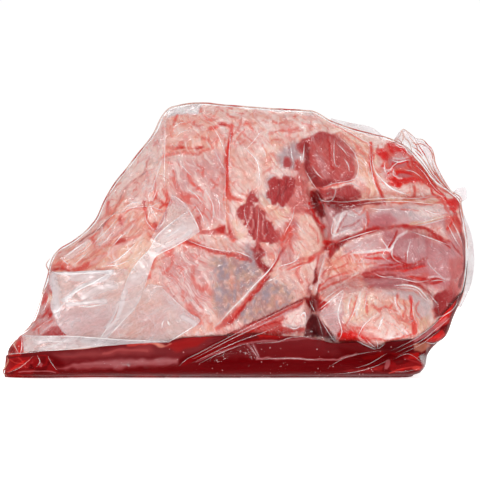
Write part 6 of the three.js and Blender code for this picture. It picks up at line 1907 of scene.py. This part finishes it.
class AddBrisket(bpy.types.Operator):
    """Adds the brisket itself: the fat slab, the folded lobe and the crevice between them"""

    bl_idname = "bag.add_brisket"
    bl_label = "Brisket"

    def execute(self, context):
        sizes, colours = settings(context)
        bm, x, z, faces_front, pole = wrapped_sphere(STATIONS, ROUND_POINTS, FRONT_SHARE)
        places = skin_places(x, z, faces_front, pole, lambda *at: pack_reach(*at, 0))
        move_vertices(bm, places)
        normal = vertex_normals(bm)
        colour, sunk, fatty = painted_meat(colours, *places.T, faces_front)
        deeper = np.where(
            faces_front,
            pressing(FRONT_CREASES, x, z, 1) - pressing(FRONT_CREASES, x, z, 0),
            pressing(BACK_CREASES, x, z, 1) - pressing(BACK_CREASES, x, z, 0))
        deeper = np.maximum(deeper, 0) * relief_window(x, z)
        lumps = sizes.lump_height / MM * (0.6 * grain(*places.T, 7, 61) + 0.4 * grain(*places.T, 3.2, 62))
        inward = sizes.film_gap / MM + 0.6 * sunk + sizes.lump_height / MM * 0.6 - lumps
        places = places - normal * (inward * smoothstep(0, 0.3, relief_window(x, z) + 0.3))[:, None]
        places[:, 1] += np.where(faces_front, deeper, -deeper)
        places[:, 2] = np.maximum(places[:, 2], 0.8)
        # Painted shade: the colour darkens by up to 0.3 where the meat lies deep in a crease
        shade = 1 - 0.3 * smoothstep(6, 22, deeper)
        finished_piece("brisket", bm, places, meat_material(colours), linear(colour) * shade[:, None], fatty)
        return {"FINISHED"}


class AddBrine(bpy.types.Operator):
    """Adds the dark brine that stands in the foot of the bag"""

    bl_idname = "bag.add_brine"
    bl_label = "Brine"

    def execute(self, context):
        sizes, colours = settings(context)
        level = curve_through(BRINE_LEVEL)
        bm, x, z, faces_front, pole = wrapped_sphere(420, 120, 0.72, level)
        places = skin_places(x, z, faces_front, pole, lambda *at: pack_reach(*at, 0))
        move_vertices(bm, places)
        normal = vertex_normals(bm)
        colour = np.repeat(colour_of(colours, "pool")[None], len(x), 0)
        near_top = smoothstep(0.55, 0.95, (z - foot_at(x)) / np.maximum(level(x) - foot_at(x), 1))
        colour = blended(colour, 0.55 * near_top, colour_of(colours, "pool_light"))

        def put(index, share, mark):
            colour[index] = blended(colour[index], share, colour_of(colours, mark["paint"]))

        lay_paint(BRINE_PAINT, x, z, faces_front, put)
        inward = 0.35 * sizes.film_gap / MM * smoothstep(0, 0.3, relief_window(x, z) + 0.3)
        places = places - normal * inward[:, None]
        places[:, 2] = np.maximum(places[:, 2], 0.4)
        finished_piece("brine", bm, places, brine_material(), linear(colour))
        return {"FINISHED"}


class AddFilm(bpy.types.Operator):
    """Adds the clear shrunk film round the meat and the brine"""

    bl_idname = "bag.add_film"
    bl_label = "Film"

    def execute(self, context):
        bm, x, z, faces_front, pole = wrapped_sphere(STATIONS, ROUND_POINTS, FRONT_SHARE)
        places = skin_places(x, z, faces_front, pole, film_reach)
        under = curve_through(BRINE_LEVEL)(x)
        veil = np.zeros(len(x))
        lay_paint(VEIL_PAINT, x, z, faces_front, put_over(veil))
        wet_below = z < np.where(faces_front, under, BACK_LEVEL)
        veil = veil * (0.85 + 0.3 * grain(x * 0.5, 0 * x, z, 4, 64)) - np.where(wet_below, 0.2, 0.04)
        finished_piece("bag_film", bm, places, film_material("Shrunk film"), values=veil)
        return {"FINISHED"}


class AddLaidSheets(bpy.types.Operator):
    """Adds the milky sheets of slack film that lie over the pack"""

    bl_idname = "bag.add_laid_sheets"
    bl_label = "Laid sheets"

    def execute(self, context):
        sizes, _ = settings(context)
        material = film_material("Milky film", "EAE2E4", 0.3, 0.08, 0.25)
        for number, (edge_a, edge_b, lift, cover) in enumerate(LAID_SHEETS):
            bm, across, x, z = sheet_between(edge_a, edge_b, 40, 110)
            crumple = grain(x * 0.5 + z * 0.4, 0 * x, z * 0.8 - x * 0.3, 7, 70 + number)
            y = film_face(x, z, lift + 0.35 * crumple)
            streaks = grain(x * 0.35 + z * 0.3, 0 * x, z * 0.9 - x * 0.6, 3.2, 80 + number)
            edge = np.minimum(np.minimum(across, 1 - across) * 14, 1)
            veil = cover * (0.9 + 0.35 * crumple + 0.25 * streaks) + 0.06 * (1 - edge)
            lay_paint(SHEET_HIGHLIGHTS, x, z, np.ones(len(x), bool), put_over(veil))
            places = np.stack((x, y, z), -1)
            veil = np.clip(veil, 0, 0.95)
            add_sheet(f"film_sheet_{number + 1}", bm, places, sizes.film_wall, material, veil)
        return {"FINISHED"}


class AddFreeFilm(bpy.types.Operator):
    """Adds the film that stands free of the meat: right edge, top strip and crumpled corners"""

    bl_idname = "bag.add_free_film"
    bl_label = "Free film"

    def execute(self, context):
        sizes, _ = settings(context)
        material = film_material("Free film", "F2EAEC", 0.12, 0.15, 0.35)
        for number, (buried, free, y, wave, milk) in enumerate(FREE_FILM):
            bm, across, x, z = sheet_between(buried, free, 26, 90)
            crumple = grain(x, 0 * x, z, 6, 90 + number)
            places = np.stack((x, y + wave * np.sin((x + z) / 4) + 0.8 * wave * crumple, z), -1)
            veil = np.clip(milk + 0.2 * crumple + 0.2 * (across > 0.94), 0.1, 0.8)
            veil = veil * smoothstep(0.45, 0.75, across)
            add_sheet(f"film_edge_{number + 1}", bm, places, sizes.film_wall, material, veil)
        return {"FINISHED"}


def add_tube(whole, route, radius, lift_at):
    """Adds a thin tapered tube along a route to a mesh. Returns how far along the route each vertex is."""
    steps, ring = max(30, 2 * len(route)), 6
    bm = bmesh.new()
    bmesh.ops.create_uvsphere(bm, u_segments=ring, v_segments=steps, radius=1)
    ball = np.array([vertex.co for vertex in bm.verts])
    t = np.arccos(np.clip(ball[:, 2], -1, 1)) / np.pi
    on = evenly_along(route, t)
    ahead = evenly_along(route, np.clip(t + 0.02, 0, 1)) - evenly_along(route, np.clip(t - 0.02, 0, 1))
    ahead = ahead / np.maximum(np.hypot(*ahead.T), 1e-6)[:, None]
    waist = np.maximum(np.hypot(ball[:, 0], ball[:, 1]), 1e-6)
    girth = radius * (0.25 + 0.75 * np.sin(np.pi * t)) * np.where(waist > 1e-5, 1, 0)
    beside, out = ball[:, 0] / waist * girth, ball[:, 1] / waist * girth
    x = on[:, 0] - ahead[:, 1] * beside
    z = np.maximum(on[:, 1] + ahead[:, 0] * beside, 0.3)
    y = lift_at(on[:, 0], on[:, 1]) - 0.6 * out
    move_vertices(bm, in_frame(np.stack((x, y, z), -1)))
    face_outwards(bm)
    part = bpy.data.meshes.new("tube")
    bm.to_mesh(part)
    bm.free()
    whole.from_mesh(part)
    bpy.data.meshes.remove(part)
    return t


def fading_ends(t):
    """A share that fades to nothing at both ends of a route."""
    return np.sin(np.pi * np.clip(t, 0.02, 0.98)) ** 0.5


class AddPleats(bpy.types.Operator):
    """Adds the thin shining pleats in the film"""

    bl_idname = "bag.add_pleats"
    bl_label = "Pleats"

    def execute(self, context):
        whole = bmesh.new()
        veil = []
        level = curve_through(BRINE_LEVEL)
        for fold in PLEATS:

            def lift_at(x, z):
                lift = 0.3 * fold["radius"]
                for edge_a, edge_b, sheet_lift, _ in LAID_SHEETS:
                    over = depth_inside(edge_a + edge_b[::-1], x, z) > -1
                    lift = np.maximum(lift, np.where(over, sheet_lift + 0.3, 0))
                return film_face(x, z, lift)

            t = add_tube(whole, fold["route"], fold["radius"], lift_at)
            over_brine = all(z < level(x) for x, z in fold["route"])
            veil.append((0.6 if over_brine else 0.9) * fold["cover"] * fading_ends(t))
        for fold in BACK_PLEATS:
            t = add_tube(whole, fold["route"], fold["radius"], film_back)
            veil.append(fold["cover"] * fading_ends(t))
        shine = film_material("Pleat shine", "FFFBFB", 0, 0.2)
        stored_piece("film_pleats", whole, shine, values=np.concatenate(veil))
        return {"FINISHED"}


class AddThreads(bpy.types.Operator):
    """Adds the threads of brine that stand in the finest folds of the film"""

    bl_idname = "bag.add_threads"
    bl_label = "Brine threads"

    def execute(self, context):
        _, colours = settings(context)
        whole = bmesh.new()
        share, tint = [], []
        for mark in (*SLAB_PAINT, *UPPER_PAINT):
            if mark["paint"] in THREAD_PAINTS and mark.get("half", np.inf) <= WIDEST_THREAD:
                x, z = np.array(softened(mark["route"], 4), float).T
                stray_x, stray_z = drift(x, z)
                route = list(zip(x - stray_x, z - stray_z))
                t = add_tube(whole, route, 0.25 + 0.2 * mark["half"], lambda *at: film_face(*at, 0.1))
                share.append(mark["strength"] * fading_ends(t))
                tint.append(np.repeat([colour_of(colours, mark["paint"])], len(t), 0))
        recipe = Recipe("Brine threads", IOR=1.34, Specular_IOR_Level=0.1)
        breaks = recipe.noise(recipe.place(), 180, 3, 0.6)
        stored_piece("brine_threads", whole, recipe.set(
            Base_Color=recipe.attribute("tint"), Roughness=breaks.held(0.3, 0.7, 0.2, 0.4),
            Alpha=recipe.attribute("veil", "Fac") * breaks.held(0.35, 0.55, 0.35, 1)),
            colour=np.concatenate(tint), values=np.concatenate(share))
        return {"FINISHED"}


class AddRim(bpy.types.Operator):
    """Adds the thin line of brine that is drawn along the bag's rim"""

    bl_idname = "bag.add_rim"
    bl_label = "Rim"

    def execute(self, context):
        whole = bmesh.new()
        for edge_at, start, end in RIM_RUNS:
            x = start + (end - start) * (1 - np.cos(np.linspace(0, np.pi, 90))) / 2
            z = edge_at(x) + 0.5 * grain(x, 0 * x, edge_at(x), 7, 95) - 0.1
            add_tube(whole, list(zip(x, z)), 0.8, lambda *at: rim_plane(*at) - 0.6)
        for radius, *strand in STRANDS:
            add_tube(whole, strand, radius, lambda *at: np.minimum(film_face(*at, 0.6), -3.5))
        recipe = Recipe("Rim brine", IOR=1.34)
        place = recipe.place()
        where = recipe.noise(place, 42, 3, 0.6, 0.8)
        tint = recipe.mix(where.held(0.4, 0.55), flat("D2382E"), flat("E0A890"))
        tint = recipe.mix(recipe.noise(place, 75, 2).held(0.52, 0.6), tint, flat("C85A48"))
        stored_piece("rim_brine", whole, recipe.set(
            Base_Color=tint, Alpha=where.held(0.36, 0.6, 0.9, 0.4), Roughness=where.held(0.3, 0.7, 0.2, 0.4)))
        return {"FINISHED"}


class AddBubbles(bpy.types.Operator):
    """Adds the small bubbles caught between the brine and the film"""

    bl_idname = "bag.add_bubbles"
    bl_label = "Bubbles"

    def execute(self, context):
        sizes, _ = settings(context)
        draw = np.random.default_rng(5)
        whole = bmesh.new()
        for _ in range(sizes.bubbles):
            x, z, size = draw.uniform(-60, 130), 2 + 24 * draw.uniform() ** 1.3, draw.uniform(0.25, 0.55)
            made = bmesh.ops.create_icosphere(whole, subdivisions=2, radius=size * MM)
            y = float(film_face(np.array(x), np.array(z), 0.1))
            bmesh.ops.translate(whole, verts=made["verts"], vec=Vector(in_frame((x, y, z))))
        recipe = Recipe("Bubble", Metallic=0.0, IOR=1.3)
        cloud = recipe.noise(recipe.place(), 400, 2)
        tint = recipe.mix(cloud.held(0.3, 0.7, 0, 1), flat("B4686A"), flat("D8A4A4"))
        stored_piece("brine_bubbles", whole, recipe.set(
            Base_Color=tint, Roughness=cloud.held(0.3, 0.7, 0.2, 0.4)))
        return {"FINISHED"}


FLOOR_DROP = 0.2 * MM
# Lights: name, place in metres, width, height and power
LIGHTS = (
    ("Key", (-1.3, -1.4, 1.5), 0.7, 0.5, 15),
    ("Fill", (1.6, -1.3, 1.0), 0.7, 0.5, 9),
    ("Top", (0.1, -0.5, 2.0), 1.2, 0.5, 10.5),
    ("Back", (0.2, 1.9, 1.2), 1.6, 1.0, 15),
)
# What gloss reflects of the room, as two ramps that are added: a direction's share towards the viewer, from and
# to, and the strength there
ROOM_GLOW = ((0.9, 0.55, 0.01, 0.07), (0.1, -0.7, 0, 0.8))
# The place that the camera looks at, in the pack's axes
PHOTO_CENTRE = (-1.2, -25, 109.6)


class SetStage(bpy.types.Operator):
    """Adds the studio floor, the lights and the camera"""

    bl_idname = "bag.set_stage"
    bl_label = "Stage"

    def execute(self, context):
        sizes, _ = settings(context)
        self.add_floor(sizes.floor_side)
        context.scene.world = self.lit_room()
        aim = Vector(in_frame((0, 0, 100)))
        for name, place, wide, high, power in LIGHTS:
            self.add_light(name, place, aim, wide, high, power)
        self.add_camera(sizes)
        context.scene.view_settings.view_transform = "Standard"
        return {"FINISHED"}

    def add_floor(self, side):
        bm = bmesh.new()
        bmesh.ops.create_grid(bm, x_segments=2, y_segments=2, size=side / 2)
        bmesh.ops.translate(bm, verts=bm.verts, vec=(0, 0, -FLOOR_DROP))
        mesh = bpy.data.meshes.new("floor")
        bm.to_mesh(mesh)
        bm.free()
        recipe = Recipe("Studio floor", Roughness=0.9)
        cloud = recipe.noise(recipe.place(), 3, 2)
        white = recipe.mix(cloud.held(0.3, 0.7, 0, 1), (0.93, 0.93, 0.93, 1), (0.95, 0.95, 0.95, 1))
        mesh.materials.append(recipe.set(Base_Color=white, Emission_Color=white, Emission_Strength=0.85))
        floor = bpy.data.objects.new("floor", mesh)
        bpy.context.scene.collection.objects.link(floor)
        floor.visible_glossy = False

    def lit_room(self):
        """A white room with soft light, whose reflection is dark towards the viewer and bright at the back."""
        world = bpy.data.worlds.new("Studio")
        world.use_nodes = True
        world.cycles.sampling_method = "NONE"
        tree = world.node_tree
        tree.nodes.clear()
        path = tree.nodes.new("ShaderNodeLightPath")
        output = tree.nodes.new("ShaderNodeOutputWorld")
        fill, room, white = (tree.nodes.new("ShaderNodeBackground") for _ in range(3))
        for shade, strength in ((fill, 0.24), (room, 0.07), (white, 1.02)):
            shade.inputs["Color"].default_value = (1, 1, 1, 1)
            shade.inputs["Strength"].default_value = strength
        towards = tree.nodes.new("ShaderNodeTexCoord").outputs["Generated"]
        lean = tree.nodes.new("ShaderNodeVectorMath")
        lean.operation = "DOT_PRODUCT"
        lean.inputs[1].default_value = (0, -1, 0)
        tree.links.new(towards, lean.inputs[0])
        glow = tree.nodes.new("ShaderNodeMath")
        for side, spread_values in enumerate(ROOM_GLOW):
            spread = tree.nodes.new("ShaderNodeMapRange")
            for key, value in zip(("From Min", "From Max", "To Min", "To Max"), spread_values):
                spread.inputs[key].default_value = value
            tree.links.new(lean.outputs["Value"], spread.inputs["Value"])
            tree.links.new(spread.outputs[0], glow.inputs[side])
        tree.links.new(glow.outputs[0], room.inputs["Strength"])
        reflected, seen = (tree.nodes.new("ShaderNodeMixShader") for _ in range(2))
        for mix, chooser, first, second in (
                (reflected, path.outputs["Is Glossy Ray"], fill, room),
                (seen, path.outputs["Is Camera Ray"], reflected, white)):
            tree.links.new(chooser, mix.inputs[0])
            tree.links.new(first.outputs[0], mix.inputs[1])
            tree.links.new(second.outputs[0], mix.inputs[2])
        tree.links.new(seen.outputs[0], output.inputs["Surface"])
        return world

    def add_light(self, name, place, aim, wide, high, power):
        data = bpy.data.lights.new(name, "AREA")
        data.shape = "RECTANGLE"
        data.size, data.size_y, data.energy = wide, high, power
        light = bpy.data.objects.new(name, data)
        bpy.context.scene.collection.objects.link(light)
        light.location = place
        light.rotation_euler = (aim - Vector(place)).to_track_quat("-Z", "Y").to_euler()

    def add_camera(self, sizes):
        camera = bpy.data.cameras.new("Camera")
        camera.sensor_width = 36
        camera.lens = camera.sensor_width * sizes.camera_distance / (PHOTO_SIDE * PHOTO_STEP)
        camera.clip_end = 50
        eye = bpy.data.objects.new("Camera", camera)
        bpy.context.scene.collection.objects.link(eye)
        centre = Vector(in_frame(PHOTO_CENTRE))
        tilt = sizes.camera_elevation
        eye.location = centre + sizes.camera_distance * Vector((0, -np.cos(tilt), np.sin(tilt)))
        eye.rotation_euler = (centre - eye.location).to_track_quat("-Z", "Y").to_euler()
        bpy.context.scene.camera = eye


class BagPanel(bpy.types.Panel):
    bl_idname = "VIEW3D_PT_bagged_brisket"
    bl_label = "Bagged Brisket"
    bl_space_type = "VIEW_3D"
    bl_region_type = "UI"
    bl_category = "Brisket"

    def draw(self, context):
        for group in settings(context):
            box = self.layout.box()
            for key in group.__annotations__:
                box.prop(group, key)
        for operator in OPERATORS:
            self.layout.operator(operator.bl_idname)


OPERATORS = (
    SetStage, AddBrisket, AddBrine, AddFilm, AddLaidSheets, AddFreeFilm, AddPleats, AddThreads, AddRim,
    AddBubbles)
CLASSES = (BagSizes, BagColours, *OPERATORS, BagPanel)


def register():
    for each in CLASSES:
        bpy.utils.register_class(each)
    bpy.types.Scene.bagged_brisket_sizes = bpy.props.PointerProperty(type=BagSizes)
    bpy.types.Scene.bagged_brisket_colours = bpy.props.PointerProperty(type=BagColours)


def unregister():
    del bpy.types.Scene.bagged_brisket_colours
    del bpy.types.Scene.bagged_brisket_sizes
    for each in reversed(CLASSES):
        bpy.utils.unregister_class(each)


def main():
    register()
    bpy.ops.bag.set_stage()
    bpy.ops.bag.add_brisket()
    bpy.ops.bag.add_brine()
    bpy.ops.bag.add_film()
    bpy.ops.bag.add_laid_sheets()
    bpy.ops.bag.add_free_film()
    bpy.ops.bag.add_pleats()
    bpy.ops.bag.add_threads()
    bpy.ops.bag.add_rim()
    bpy.ops.bag.add_bubbles()


if __name__ == "__main__":
    main()
